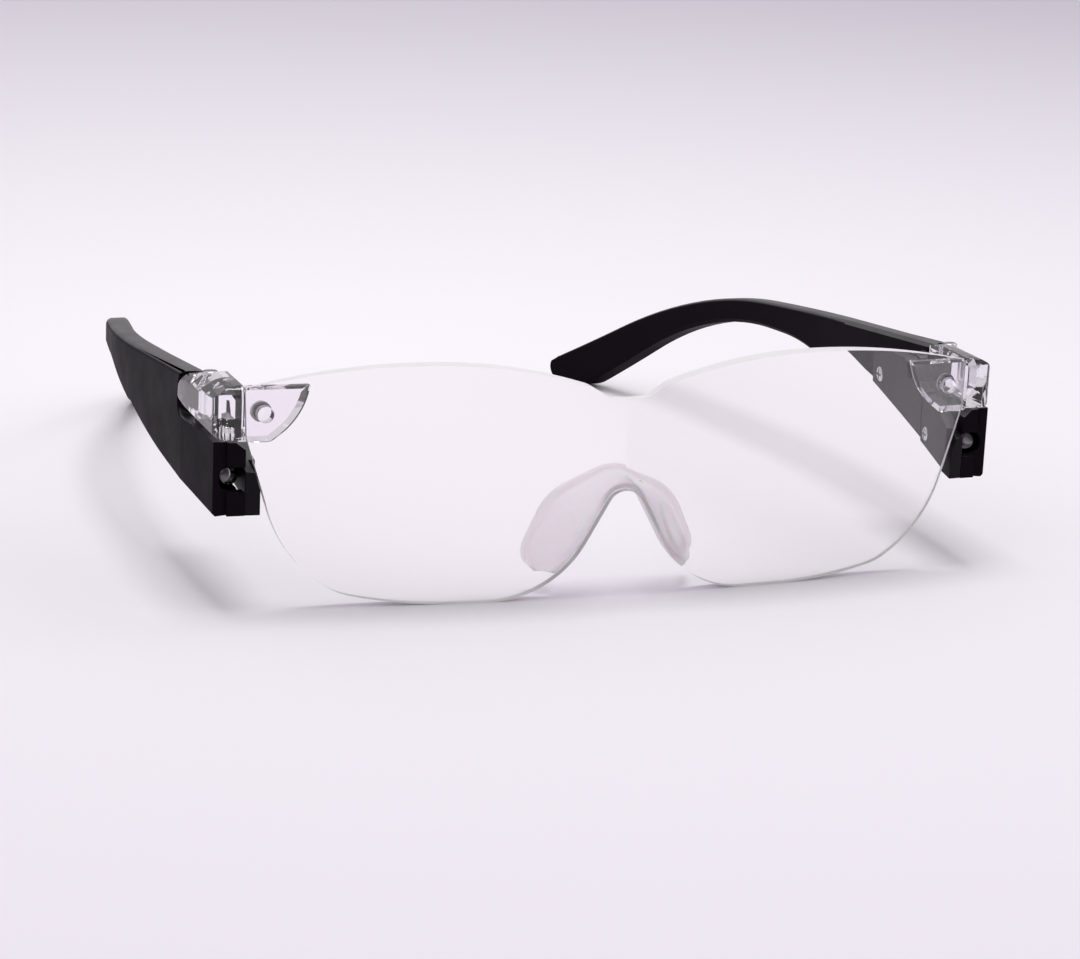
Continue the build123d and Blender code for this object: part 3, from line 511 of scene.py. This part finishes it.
class EdgeSettings(bpy.types.PropertyGroup):
    """How far moulded edges are rounded."""

    temple: length_setting("Temple edges", "Rounding of the temples' edges", 0.35)
    arm: length_setting("Arm edges", "Rounding of the edges of the arms", 0.45)
    tip: length_setting("Tip radius", "Radius of the temples' tips, seen from the side", 3.1)
    cover: length_setting("Cover edges", "Rounding of the inner covers' edges", 0.2)
    end_piece: length_setting("End piece edges", "Rounding of the clear end pieces' edges", 0.3)
    metal: length_setting("Metal edges", "Rounding of screws and pins", 0.08)


class SaddleSettings(bpy.types.PropertyGroup):
    """Sizes of the nose saddle."""

    depth: length_setting("Depth", "From the front of the lens back to the saddle's lip", 10.4)
    wall: length_setting("Wall", "Thickness of the skin", 1.1)
    lip: length_setting("Lip", "Width of the lip round the rear rim", 1.9)
    grain: length_setting("Voxel", "Voxel size that softens the saddle", 0.25)


class FinishSettings(bpy.types.PropertyGroup):
    """Colours of the pieces."""

    lens: colour_setting("Lens", "Tint of the clear lens", "#FDFCFC")
    lens_edge: colour_setting("Lens edge", "Tint of the lens's satin edge", "#FFFDFF")
    end_piece: colour_setting("End pieces", "Tint of the clear end pieces", "#F6F3F8")
    temple: colour_setting("Temple black", "Darkest colour of the temples", "#120E13")
    temple_worn: colour_setting("Temple grey", "Lighter colour in the temples' clouding", "#18131A")
    cover: colour_setting("Cover black", "Colour of the inner covers", "#0B0A0C")
    silicone: colour_setting("Silicone", "Colour of the nose saddle", "#FBF9FC")
    silicone_milk: colour_setting("Silicone clouding", "Greyer colour in the saddle", "#F3F0F5")
    steel: colour_setting("Screws", "Colour of the plated screws", "#C9C6CB")
    gold: colour_setting("Contacts", "Colour of the gold-plated contacts", "#D9B45A")
    epoxy: colour_setting("Lamp", "Tint of the lamp's epoxy", "#EEF1EA")
    board: colour_setting("Board", "Colour of the board's mask", "#0B4A24")
    copper: colour_setting("Board runs", "Colour over the board's copper", "#07351A")


class StageSettings(bpy.types.PropertyGroup):
    """Camera, floor and lights."""

    camera_place: bpy.props.FloatVectorProperty(
        name="Camera", description="Where the camera stands", subtype="TRANSLATION", unit="LENGTH",
        default=(-0.21296, -0.61320, 0.17346),
    )
    focal_mm: number_setting("Focal length", "In mm, for a 36 mm wide sensor", 109.277)
    roll: angle_setting("Roll", "Turn of the camera about its own axis", 2.581)
    azimuth: angle_setting("Azimuth", "How far round the camera stands", -20.359)
    elevation: angle_setting("Elevation", "How far the camera looks down", 14.958)
    # Painted light and shade: the near colour is the paper under the painted pool of light, the far colour is
    # the paper in painted shade where that light falls off
    paper_painted_light: colour_setting("Paper near", "Colour of the paper behind the glasses", "#F7F3F8")
    paper_painted_falloff: colour_setting("Paper far", "Colour of the paper far off", "#DAD5DF")
    room: colour_setting("Room", "Colour of the room's light", "#F6F2F7")
    bright: number_setting("Bright side", "Strength of the room above and behind the glasses", 0.79)
    dim: number_setting("Dim side", "Strength of the room behind the camera", 0.14)
    top: number_setting("Top light", "Power of the overhead softbox in watts", 4.7)
    side: number_setting("Side light", "Power of the weaker side softbox in watts", 0.5)


class GlassesSettings(bpy.types.PropertyGroup):
    """All settings of the glasses."""

    lens: bpy.props.PointerProperty(type=LensSettings, name="Lens", description="Sizes of the lens")
    edges: bpy.props.PointerProperty(type=EdgeSettings, name="Edges", description="Rounding of edges")
    saddle: bpy.props.PointerProperty(type=SaddleSettings, name="Nose saddle", description="Its sizes")
    finish: bpy.props.PointerProperty(type=FinishSettings, name="Finish", description="Colours")
    stage: bpy.props.PointerProperty(type=StageSettings, name="Stage", description="Camera, floor, lights")


# Corners of the lens outline in mm, from the bridge round the wearer's left half: x, z, radius
LENS_CORNERS = (
    (3.544, 36.881, 3.019),
    (7.506, 39.331, 3.842),
    (22.032, 43.75, 96.68),
    (53.029, 43.75, 143.4),
    (69.5, 40.119, 0.613),
    (69.222, 31.194, 3.981),
    (62.48, 8.794, 24.98),
    (52.473, 2.581, 11.94),
    (40.866, 0.0, 87.6),
    (13.031, 0.0, 19.99),
)
NOTCH_CORNER = (0.0, 23.494, 3.391)
# Distance in mm between the points of an outline's arcs
OUTLINE_STEP = 0.5
# Where the lens outline is parted into top, side and bottom, in mm: x, z
LENS_TOP_CORNER = (69.5, 40.1)
LENS_LOW_CORNER = (64.9, 16.8)
# Faces whose normal leans less than this towards the front or back are the lens's edge
EDGE_LEAN = 0.6
# Lens pins in mm: x and z, the drill's radius and half its length
PIN_PLACE = (66.0, 35.4)
PIN_HOLE = 1.5
DRILL_HALF = 6
# Top edges of a temple this far behind the front of the lens in mm are eased as the arm's, and its
# faces that look up by more than this share of their normal are its top
ARM_FROM = 25
TOP_LEAN = 0.4
# The arm's top falls this steeply to the tip and, drawn on, meets the table here in mm
TIP_FALL = 0.595
TIP_MEETS_TABLE = 89.0
# Slivers of the eased temples below this width in mm are closed
SLIVER = 0.04
# Corners of the nose saddle's rear rim in mm, up its +X half: x, z, radius
SADDLE_CORNERS = ((15.84, 3.04, 0.5), (17.6, 7.02, 6.1), (12.67, 18.0, 9.8))
SADDLE_CROWN = (0.0, 23.4, 9.0)
# Where the saddle leaves the notch, in mm: x, z
SADDLE_FOOT = (11.3, 3.1)
# Share of the arch at each foot that gets shallower, and the share of its depth left at the end
FOOT_SHARE = 0.09
FOOT_DEPTH = 0.7
# Share of the saddle's way back at which its lip starts
LIP_START = 0.8
# Soft pads in mm: middle, with y from the front of the lens, half sizes, and the ways up and across
PAD_MIDDLE = (11.8, 6.3, 10.2)
PAD_HALF = (6.4, 3.7, 1.3)
PAD_UP = (-13.0, 0, 23.5)
PAD_ACROSS = (8.8, 9.0, 0)
# Turned screws in mm: depth from the top of the head and radius, then the boxes cut into the head
HINGE_SCREW = (
    (0, 0), (0, 1.1), (0.06, 1.27), (0.2, 1.4), (0.7, 1.4), (0.7, 0.8), (8.5, 0.8), (8.6, 0.7), (8.6, 0),
)
HINGE_SLOT = (3.2, 0.5, 0.7)
COVER_SCREW = (
    (0, 0), (0, 0.7), (0.08, 1.1), (0.25, 1.33), (0.4, 1.4), (0.7, 1.4), (0.7, 0.7), (4, 0.7), (4, 0),
)
COVER_SCREW_HEAD = 1.4
CROSS_LEVEL = (0.9, 1.9, 0.42)
CROSS_UPRIGHT = (0.9, 0.42, 1.9)
# Lamp in mm: dome radius, flange and the reflector cup, as depth from the dome's top and radius
LAMP_RADIUS = 1.5
LAMP_FLANGE = ((4.3, 1.5), (4.3, 1.8), (4.4, 1.9), (5.2, 1.9), (5.3, 1.8), (5.3, 0))
CUP = ((2.3, 0.62), (2.75, 0.3), (2.75, 0), (2.9, 0), (2.9, 0.42), (2.3, 0.7), (2.3, 0.62))
CUP_SHIFT = 0.35
# Thick post under the cup, thin post and both leads in mm: outwards, depth and size
LEAD_FRAME = (
    (CUP_SHIFT, 4.0, (0.5, 2.2, 0.5)),
    (-0.635, 4.1, (0.35, 2.0, 0.5)),
    (0.635, 6.45, (0.5, 2.5, 0.5)),
    (-0.635, 6.45, (0.5, 2.5, 0.5)),
)
# Stage in metres: half the paper's side, how far it lies under the glasses, and the brightest place and
# spread of the light painted on it
PAPER_HALF = 4
PAPER_DROP = 0.02 * MM
PAPER_PAINTED_LIGHT_Y = 0.12
PAPER_PAINTED_LIGHT_SPREAD = 0.9


def scaled_corners(corners):
    """Corners in metres of corners in mm."""
    return [tuple(value * MM for value in corner) for corner in corners]


def flat_point(x, z):
    """Point of an outline in metres, from mm."""
    return Vector((x, 0, z)) * MM


def lens_outline():
    """Closed outline of the lens in metres, from the bridge round the +X half first."""
    mirrored = [(-x, z, r) for x, z, r in reversed(LENS_CORNERS)]
    return rounded_outline(scaled_corners((*LENS_CORNERS, NOTCH_CORNER, *mirrored)), OUTLINE_STEP * MM)


def lens_front_y(x, z, sizes):
    """Depth of the ball-shaped front of the lens."""
    radius = sizes.front_radius
    return FRONT_Y + radius - math.sqrt(radius**2 - x**2 - (z - sizes.eye_z) ** 2)


def lens_back_y(x, z, sizes):
    """Depth of the back of the lens: the further of its two bulges."""
    radius = sizes.back_radius
    depths = []
    for side in (1, -1):
        front = Vector((side * sizes.eye_x, lens_front_y(sizes.eye_x, sizes.eye_z, sizes), sizes.eye_z))
        inward = (Vector((0, FRONT_Y + sizes.front_radius, sizes.eye_z)) - front).normalized()
        centre = front + inward * (sizes.middle - radius)
        depths.append(centre.y + math.sqrt(radius**2 - (x - centre.x) ** 2 - (z - centre.z) ** 2))
    return max(depths)


class GLASSES_OT_lens(bpy.types.Operator):
    """Polycarbonate lens: a sheet of faces stretched over its outline, bulged, walled and edged"""

    bl_idname = "glasses.lens"
    bl_label = "Lens"

    def execute(self, context):
        """Builds the lens."""
        sizes = settings().lens
        outline = lens_outline()
        (top_x, top_z), (low_x, low_z) = LENS_TOP_CORNER, LENS_LOW_CORNER
        top_right, top_left = flat_point(top_x, top_z), flat_point(-top_x, top_z)
        low_right, low_left = flat_point(low_x, low_z), flat_point(-low_x, low_z)
        top = between(outline, top_left, top_right)
        right = between(outline, top_right, low_right)[::-1]
        bottom = between(outline, low_right, low_left)[::-1]
        left = between(outline, low_left, top_left)

        bm = bmesh.new()
        bmesh.ops.create_grid(bm, x_segments=sizes.columns, y_segments=sizes.rows, size=0.5)
        for vert in bm.verts:
            u, v = vert.co.x + 0.5, vert.co.y + 0.5
            upwards = along(bottom, u).lerp(along(top, u), v)
            sideways = along(left, v).lerp(along(right, v), u)
            corner_blend = bottom[0].lerp(bottom[-1], u).lerp(top[0].lerp(top[-1], u), v)
            spot = upwards + sideways - corner_blend
            vert.co = Vector((spot.x, lens_front_y(spot.x, spot.z, sizes), spot.z))
        copy = bmesh.ops.duplicate(bm, geom=list(bm.faces))
        back = [item for item in copy["geom"] if isinstance(item, bmesh.types.BMVert)]
        for vert in back:
            vert.co.y = lens_back_y(vert.co.x, vert.co.z, sizes)
        rims = [edge for edge in bm.edges if edge.is_boundary]
        bmesh.ops.bridge_loops(bm, edges=rims)
        bmesh.ops.recalc_face_normals(bm, faces=bm.faces)
        ease_edges(bm, sizes.edge, 3, math.radians(50))
        cut_away(bm, pin_drills())
        bm.normal_update()
        for face in bm.faces:
            face.material_index = 1 if abs(face.normal.y) < EDGE_LEAN else 0

        finish = settings().finish
        glass = clear_polycarbonate("Polished polycarbonate", finish.lens, 0.006)
        piece = write_piece("lens_clear", bm, glass, ["lens"], math.radians(10))
        piece.data.materials.append(satin_edge("Satin polycarbonate edge", finish.lens_edge))
        return {"FINISHED"}


def pin_drills():
    """Drills for the two pins of the lens."""
    bm = bmesh.new()
    for _, sign in SIDES:
        place = Matrix.Translation((sign * PIN_PLACE[0] * MM, FRONT_Y + DRILL_HALF * MM, PIN_PLACE[1] * MM))
        bmesh.ops.create_cone(
            bm, cap_ends=True, segments=48, radius1=PIN_HOLE * MM, radius2=PIN_HOLE * MM,
            depth=2 * DRILL_HALF * MM, matrix=place @ Matrix.Rotation(math.pi / 2, 4, "X"),
        )
    return bm


class GLASSES_OT_end_pieces(bpy.types.Operator):
    """Clear end pieces: moulded hinge block and plate, with eased edges"""

    bl_idname = "glasses.end_pieces"
    bl_label = "End pieces"

    def execute(self, context):
        """Builds both end pieces and their lens pins."""
        finish, edges = settings().finish, settings().edges
        clear = clear_polycarbonate("Moulded polycarbonate", finish.end_piece, 0.02)
        eased_pair("end_piece", clear, edges.end_piece, 3)
        eased_pair("lens_pin", clear, edges.metal)
        return {"FINISHED"}


class GLASSES_OT_temples(bpy.types.Operator):
    """Black temples: satin moulded arm, knuckle and housing shell"""

    bl_idname = "glasses.temples"
    bl_label = "Temples"

    def execute(self, context):
        """Builds both temples."""
        finish, edges = settings().finish, settings().edges
        # The last value is how weakly the sides reflect: painted shade against the tops' painted sheen
        black = moulded_black(
            "Satin moulded ABS", finish.temple, finish.temple_worn, roughness=0.42, grain_mm=0.35, painted_side_sheen=0.012
        )
        for side, _ in SIDES:
            bm = merged_copy(f"temple_{side}")
            cut_away(bm, tip_cutter(edges.tip))
            ease_edges(bm, edges.arm, 3, keep=on_arm, clamp=False)
            ease_edges(bm, edges.temple, 3, keep=lambda edge: not on_arm(edge))
            bmesh.ops.remove_doubles(bm, verts=bm.verts, dist=SLIVER * MM)
            write_piece(f"temple_{side}_finish", bm, black, [f"temple_{side}"])
        return {"FINISHED"}


def on_arm(edge):
    """Whether a temple's edge runs along the top of the arm, behind its knuckle."""
    behind = min(vert.co.y for vert in edge.verts) > FRONT_Y + ARM_FROM * MM
    return behind and max(face.normal.z for face in edge.link_faces) > TOP_LEAN


def tip_cutter(radius):
    """Block that leaves the arm's tip round where its falling top meets its flat foot."""
    fall = math.atan(TIP_FALL)
    reach = TIP_MEETS_TABLE * MM - radius / math.tan(fall / 2)
    centre = Vector((0, reach, radius))
    steps = 16
    turns = [(math.pi - fall) * k / steps for k in range(steps + 1)]
    arc = [centre + Vector((0, math.sin(turn), -math.cos(turn))) * radius for turn in turns]
    above = arc[-1] + (arc[-1] - centre).normalized() * 2 * MM
    past = cad_box[1].y + MM
    profile = [Vector((0, reach, -MM)), *arc, above, Vector((0, past, above.z)), Vector((0, past, -MM))]
    bm = bmesh.new()
    ends = (cad_box[0].x, cad_box[1].x)
    rings = [[bm.verts.new(point + Vector((x, 0, 0))) for point in profile] for x in ends]
    bm.faces.new(rings[0])
    bm.faces.new(reversed(rings[1]))
    for i in range(len(profile)):
        bm.faces.new((rings[0][i - 1], rings[1][i - 1], rings[1][i], rings[0][i]))
    bmesh.ops.recalc_face_normals(bm, faces=bm.faces)
    return bm


class GLASSES_OT_covers(bpy.types.Operator):
    """Inner covers of the housings, and the power buttons"""

    bl_idname = "glasses.covers"
    bl_label = "Covers and buttons"

    def execute(self, context):
        """Builds both covers, both battery doors and both buttons."""
        finish, edges = settings().finish, settings().edges
        # The last value is how weakly the sides reflect: painted shade against the tops' painted sheen
        black = moulded_black(
            "Matt moulded ABS", finish.cover, finish.temple, roughness=0.45, grain_mm=0.3, painted_side_sheen=0.12
        )
        for stem in ("led_cover", "battery_door", "power_button"):
            eased_pair(stem, black, edges.cover)
        return {"FINISHED"}


def saddle_sheet(notch, rim):
    """Faces from the notch edge back to the rear rim, where they flare out as a lip."""
    sizes, lens = settings().saddle, settings().lens
    bm = bmesh.new()
    bmesh.ops.create_grid(bm, x_segments=110, y_segments=16, size=0.5)
    for vert in bm.verts:
        round_arch, back = vert.co.x + 0.5, vert.co.y + 0.5
        to_foot = 1 - min(1, min(round_arch, 1 - round_arch) / FOOT_SHARE)
        back *= FOOT_DEPTH + (1 - FOOT_DEPTH) * math.sqrt(1 - to_foot**2)
        near, far = along(notch, round_arch), along(rim, round_arch)
        ahead = along(rim, min(1, round_arch + 0.01)) - along(rim, max(0, round_arch - 0.01))
        outward = Vector((ahead.z, 0, -ahead.x)).normalized()
        neck = far - outward * sizes.lip
        start, end = lens_back_y(near.x, near.z, lens), FRONT_Y + sizes.depth
        body = min(1, back / LIP_START)
        lip = (back - LIP_START) / (1 - LIP_START)
        spot = near.lerp(neck, body) if back < LIP_START else neck.lerp(far, lip)
        vert.co = Vector((spot.x, start + (end - start) * body, spot.z))
    bm.normal_update()
    return bm


def thicken(bm, wall):
    """Gives the saddle's sheet its wall on the side away from the nose and closes its rims."""
    crown = max(bm.verts, key=lambda vert: vert.co.z)
    side = 1 if crown.normal.y < 0 else -1
    copy = bmesh.ops.duplicate(bm, geom=list(bm.faces))
    for vert in [item for item in copy["geom"] if isinstance(item, bmesh.types.BMVert)]:
        vert.co += vert.normal * side * wall
    bmesh.ops.bridge_loops(bm, edges=[edge for edge in bm.edges if edge.is_boundary])


def add_pads(bm):
    """Adds the two soft pads that rest on the nose."""
    for _, sign in SIDES:
        x, y, z = (c * MM for c in PAD_MIDDLE)
        middle = Vector((sign * x, FRONT_Y + y, z))
        upwards = Vector((sign * PAD_UP[0], *PAD_UP[1:])).normalized()
        across = Vector((sign * PAD_ACROSS[0], *PAD_ACROSS[1:]))
        across = (across - upwards * across.dot(upwards)).normalized()
        axes = Matrix((upwards, across, upwards.cross(across))).transposed().to_4x4()
        bmesh.ops.create_uvsphere(
            bm, u_segments=32, v_segments=16, radius=1,
            matrix=Matrix.Translation(middle) @ axes @ scaled_mm(PAD_HALF),
        )


class GLASSES_OT_nose_saddle(bpy.types.Operator):
    """Silicone nose saddle: a flaring skin from the notch edge back to a lip, with two soft pads"""

    bl_idname = "glasses.nose_saddle"
    bl_label = "Nose saddle"

    def execute(self, context):
        """Builds the saddle."""
        finish, sizes = settings().finish, settings().saddle
        rubber = milky_silicone("Milky silicone rubber", finish.silicone, finish.silicone_milk)
        (foot_x, foot_z), (heel_x, heel_z, _) = SADDLE_FOOT, SADDLE_CORNERS[0]
        notch = between(lens_outline(), flat_point(foot_x, foot_z), flat_point(-foot_x, foot_z))
        mirrored = [(-x, z, r) for x, z, r in reversed(SADDLE_CORNERS)]
        corners = scaled_corners((*SADDLE_CORNERS, SADDLE_CROWN, *mirrored))
        rim = rounded_outline(corners, OUTLINE_STEP * MM)
        rim = between(rim, flat_point(heel_x, heel_z), flat_point(-heel_x, heel_z))

        bm = saddle_sheet(notch, rim)
        thicken(bm, sizes.wall)
        add_pads(bm)
        piece = write_piece("nose_saddle_soft", bm, rubber, ["nose_saddle"], math.radians(80))
        piece.modifiers.clear()
        remesh = piece.modifiers.new("Soft skin", "REMESH")
        remesh.mode = "VOXEL"
        remesh.voxel_size = sizes.grain
        remesh.use_smooth_shade = True
        smooth = piece.modifiers.new("Soft edges", "SMOOTH")
        smooth.factor = 0.5
        smooth.iterations = 4
        return {"FINISHED"}


class GLASSES_OT_fasteners(bpy.types.Operator):
    """Slotted hinge screws and cross-headed cover screws in plated steel"""

    bl_idname = "glasses.fasteners"
    bl_label = "Fasteners"

    def execute(self, context):
        """Turns the screws and cuts their heads."""
        finish = settings().finish
        steel = turned_metal("Nickel-plated steel", finish.steel, 0.24)
        for side, sign in SIDES:
            low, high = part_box(f"hinge_screw_{side}")
            top = Vector(((low.x + high.x) / 2, (low.y + high.y) / 2, high.z))
            bm = bmesh.new()
            turned(bm, top, Vector((0, 0, -1)), HINGE_SCREW)
            slot = bmesh.new()
            box_at(slot, top, HINGE_SLOT)
            cut_away(bm, slot)
            write_piece(f"hinge_screw_{side}_finish", bm, steel, [f"hinge_screw_{side}"])

            low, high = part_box(f"cover_screws_{side}")
            head_x = low.x if sign > 0 else high.x
            bm, upright, level = bmesh.new(), bmesh.new(), bmesh.new()
            for corner, inward in ((low, COVER_SCREW_HEAD * MM), (high, -COVER_SCREW_HEAD * MM)):
                middle = Vector((head_x, corner.y + inward, corner.z + inward))
                turned(bm, middle, Vector((sign, 0, 0)), COVER_SCREW)
                box_at(level, middle, CROSS_LEVEL)
                box_at(upright, middle, CROSS_UPRIGHT)
            cut_away(bm, level)
            cut_away(bm, upright)
            write_piece(f"cover_screws_{side}_finish", bm, steel, [f"cover_screws_{side}"])
        return {"FINISHED"}


class GLASSES_OT_lamps(bpy.types.Operator):
    """Lamps: cast epoxy body on a flange, with its cup, posts and leads inside"""

    bl_idname = "glasses.lamps"
    bl_label = "Lamps"

    def execute(self, context):
        """Turns both lamps and their lead frames."""
        finish = settings().finish
        epoxy = clear_epoxy("Cast epoxy", finish.epoxy)
        steel = turned_metal("Plated lead frame", finish.steel, 0.3)
        turns = [k * math.pi / 20 for k in range(11)]
        dome = [(LAMP_RADIUS * (1 - math.cos(turn)), LAMP_RADIUS * math.sin(turn)) for turn in turns]
        for side, sign in SIDES:
            node = f"led_{side}"
            low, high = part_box(node)
            nose = Vector(((low.x + high.x) / 2, low.y, (low.z + high.z) / 2))
            inwards = Vector((0, 1, 0))
            bm = bmesh.new()
            turned(bm, nose, inwards, (*dome, *LAMP_FLANGE))
            write_piece(f"{node}_epoxy", bm, epoxy, [node])

            bm = bmesh.new()
            turned(bm, nose + Vector((sign * CUP_SHIFT, 0, 0)) * MM, inwards, CUP, 24)
            for outwards, depth, size in LEAD_FRAME:
                box_at(bm, nose + Vector((sign * outwards, depth, 0)) * MM, size)
            bmesh.ops.recalc_face_normals(bm, faces=bm.faces)
            posts = new_object(f"lead_frame_{side}", bm)
            bm.free()
            posts.data.materials.append(steel)
            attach(posts, BODY_OF[node])
        return {"FINISHED"}


class GLASSES_OT_electronics(bpy.types.Operator):
    """Board, resistor, switch, cells and contacts inside the housings"""

    bl_idname = "glasses.electronics"
    bl_label = "Electronics"

    def execute(self, context):
        """Gives the inner CAD parts their finish."""
        finish = settings().finish
        steel = turned_metal("Pressed cell steel", finish.steel, 0.28, 0.4)
        gold = turned_metal("Gold-plated spring strip", finish.gold, 0.25, 0.3)
        # The last value is how weakly the sides reflect: painted shade against the tops' painted sheen
        chip = moulded_black(
            "Moulded component body", finish.cover, finish.temple, roughness=0.5, grain_mm=0.2, painted_side_sheen=0.3
        )
        board = solder_mask("Green solder mask", finish.board, finish.copper)
        dress = {
            "circuit_board": board, "resistor": chip, "switch_body": chip,
            "button_cells": steel, "contact_plate": gold, "contact_spring": gold,
        }
        for stem, material in dress.items():
            for side, _ in SIDES:
                mesh = frame["nodes"][f"{stem}_{side}"].data
                mesh.materials.clear()
                mesh.materials.append(material)
        return {"FINISHED"}


class GLASSES_OT_stage(bpy.types.Operator):
    """Paper floor, room light, softboxes and the camera at the photograph's angle"""

    bl_idname = "glasses.stage"
    bl_label = "Stage"

    def execute(self, context):
        """Sets the stage."""
        stage = settings().stage
        bm = bmesh.new()
        bmesh.ops.create_grid(
            bm, x_segments=1, y_segments=1, size=PAPER_HALF, matrix=Matrix.Translation((0, 0, -PAPER_DROP))
        )
        paper = new_object("paper", bm)
        bm.free()
        paper.data.materials.append(studio_paper(
            "Matt paper sweep", stage.paper_painted_light, stage.paper_painted_falloff, PAPER_PAINTED_LIGHT_Y, PAPER_PAINTED_LIGHT_SPREAD
        ))

        world = bpy.data.worlds.new("Room")
        context.scene.world = world
        world.use_nodes = True
        tree = world.node_tree
        tree.nodes.clear()
        # The room is bright above and behind the glasses and dim behind the camera
        way = add_node(tree, "ShaderNodeTexCoord")
        parts = add_node(tree, "ShaderNodeSeparateXYZ", {"Vector": way.outputs["Generated"]})
        rise = add_node(
            tree, "ShaderNodeMath", {0: parts.outputs["Y"], 1: parts.outputs["Z"]}, operation="ADD"
        )
        strength = add_node(
            tree, "ShaderNodeMapRange", {"Value": rise.outputs["Value"]},
            **{"From Min": -0.75, "From Max": 0.35, "To Min": stage.dim, "To Max": stage.bright},
        )
        room = add_node(
            tree, "ShaderNodeBackground", {"Strength": strength.outputs["Result"]}, Color=stage.room
        )
        add_node(tree, "ShaderNodeOutputWorld", {"Surface": room.outputs["Background"]})

        for name, place, size, power in (
            ("softbox_top", (0.0, 0.03, 1.1), 0.45, stage.top),
            ("softbox_side", (0.75, 0.1, 0.75), 0.3, stage.side),
        ):
            data = bpy.data.lights.new(name, "AREA")
            data.shape = "SQUARE"
            data.size = size
            data.energy = power
            lamp = bpy.data.objects.new(name, data)
            context.scene.collection.objects.link(lamp)
            aim = (-Vector(place)).to_track_quat("-Z", "Y").to_matrix().to_4x4()
            lamp.matrix_world = Matrix.Translation(place) @ aim

        az, el, roll = stage.azimuth, stage.elevation, stage.roll
        back = Vector((math.sin(az) * math.cos(el), -math.cos(az) * math.cos(el), math.sin(el)))
        right = Vector((math.cos(az), math.sin(az), 0))
        up = back.cross(right)
        turned_right = right * math.cos(roll) + up * math.sin(roll)
        turned_up = up * math.cos(roll) - right * math.sin(roll)
        data = bpy.data.cameras.new("photo_camera")
        data.sensor_width = 36
        data.lens = stage.focal_mm
        data.clip_start, data.clip_end = 0.05, 20
        camera = bpy.data.objects.new("photo_camera", data)
        context.scene.collection.objects.link(camera)
        axes = Matrix((turned_right, turned_up, back)).transposed().to_4x4()
        camera.matrix_world = Matrix.Translation(stage.camera_place) @ axes
        context.scene.camera = camera
        context.scene.view_settings.view_transform = "Standard"
        # Light crosses the long way down the lens from its top edge by many reflections
        context.scene.cycles.max_bounces = 32
        context.scene.cycles.transmission_bounces = 32
        return {"FINISHED"}


PIECES = (
    GLASSES_OT_lens, GLASSES_OT_end_pieces, GLASSES_OT_temples, GLASSES_OT_covers,
    GLASSES_OT_nose_saddle, GLASSES_OT_fasteners, GLASSES_OT_lamps, GLASSES_OT_electronics,
    GLASSES_OT_stage,
)


class GLASSES_PT_panel(bpy.types.Panel):
    """Sidebar panel with the settings and one button for each group of pieces"""

    bl_idname = "GLASSES_PT_panel"
    bl_label = "Magnifier glasses"
    bl_space_type = "VIEW_3D"
    bl_region_type = "UI"
    bl_category = "Glasses"

    def draw(self, context):
        """Lists the settings and the operators."""
        groups = context.scene.magnifier_glasses
        for group in (groups.lens, groups.edges, groups.saddle, groups.finish, groups.stage):
            box = self.layout.box()
            for name in group.__annotations__:
                box.prop(group, name)
        for operator in PIECES:
            self.layout.operator(operator.bl_idname)


CLASSES = (
    LensSettings, EdgeSettings, SaddleSettings, FinishSettings, StageSettings, GlassesSettings, *PIECES,
    GLASSES_PT_panel,
)


def register():
    """Registers the classes and the settings."""
    for item in CLASSES:
        bpy.utils.register_class(item)
    bpy.types.Scene.magnifier_glasses = bpy.props.PointerProperty(type=GlassesSettings)


def unregister():
    """Takes the settings and the classes away again."""
    del bpy.types.Scene.magnifier_glasses
    for item in reversed(CLASSES):
        bpy.utils.unregister_class(item)


def main():
    """Builds everything in order."""
    register()
    for operator in PIECES:
        group, name = operator.bl_idname.split(".")
        getattr(getattr(bpy.ops, group), name)()


if __name__ == "__main__":
    main()
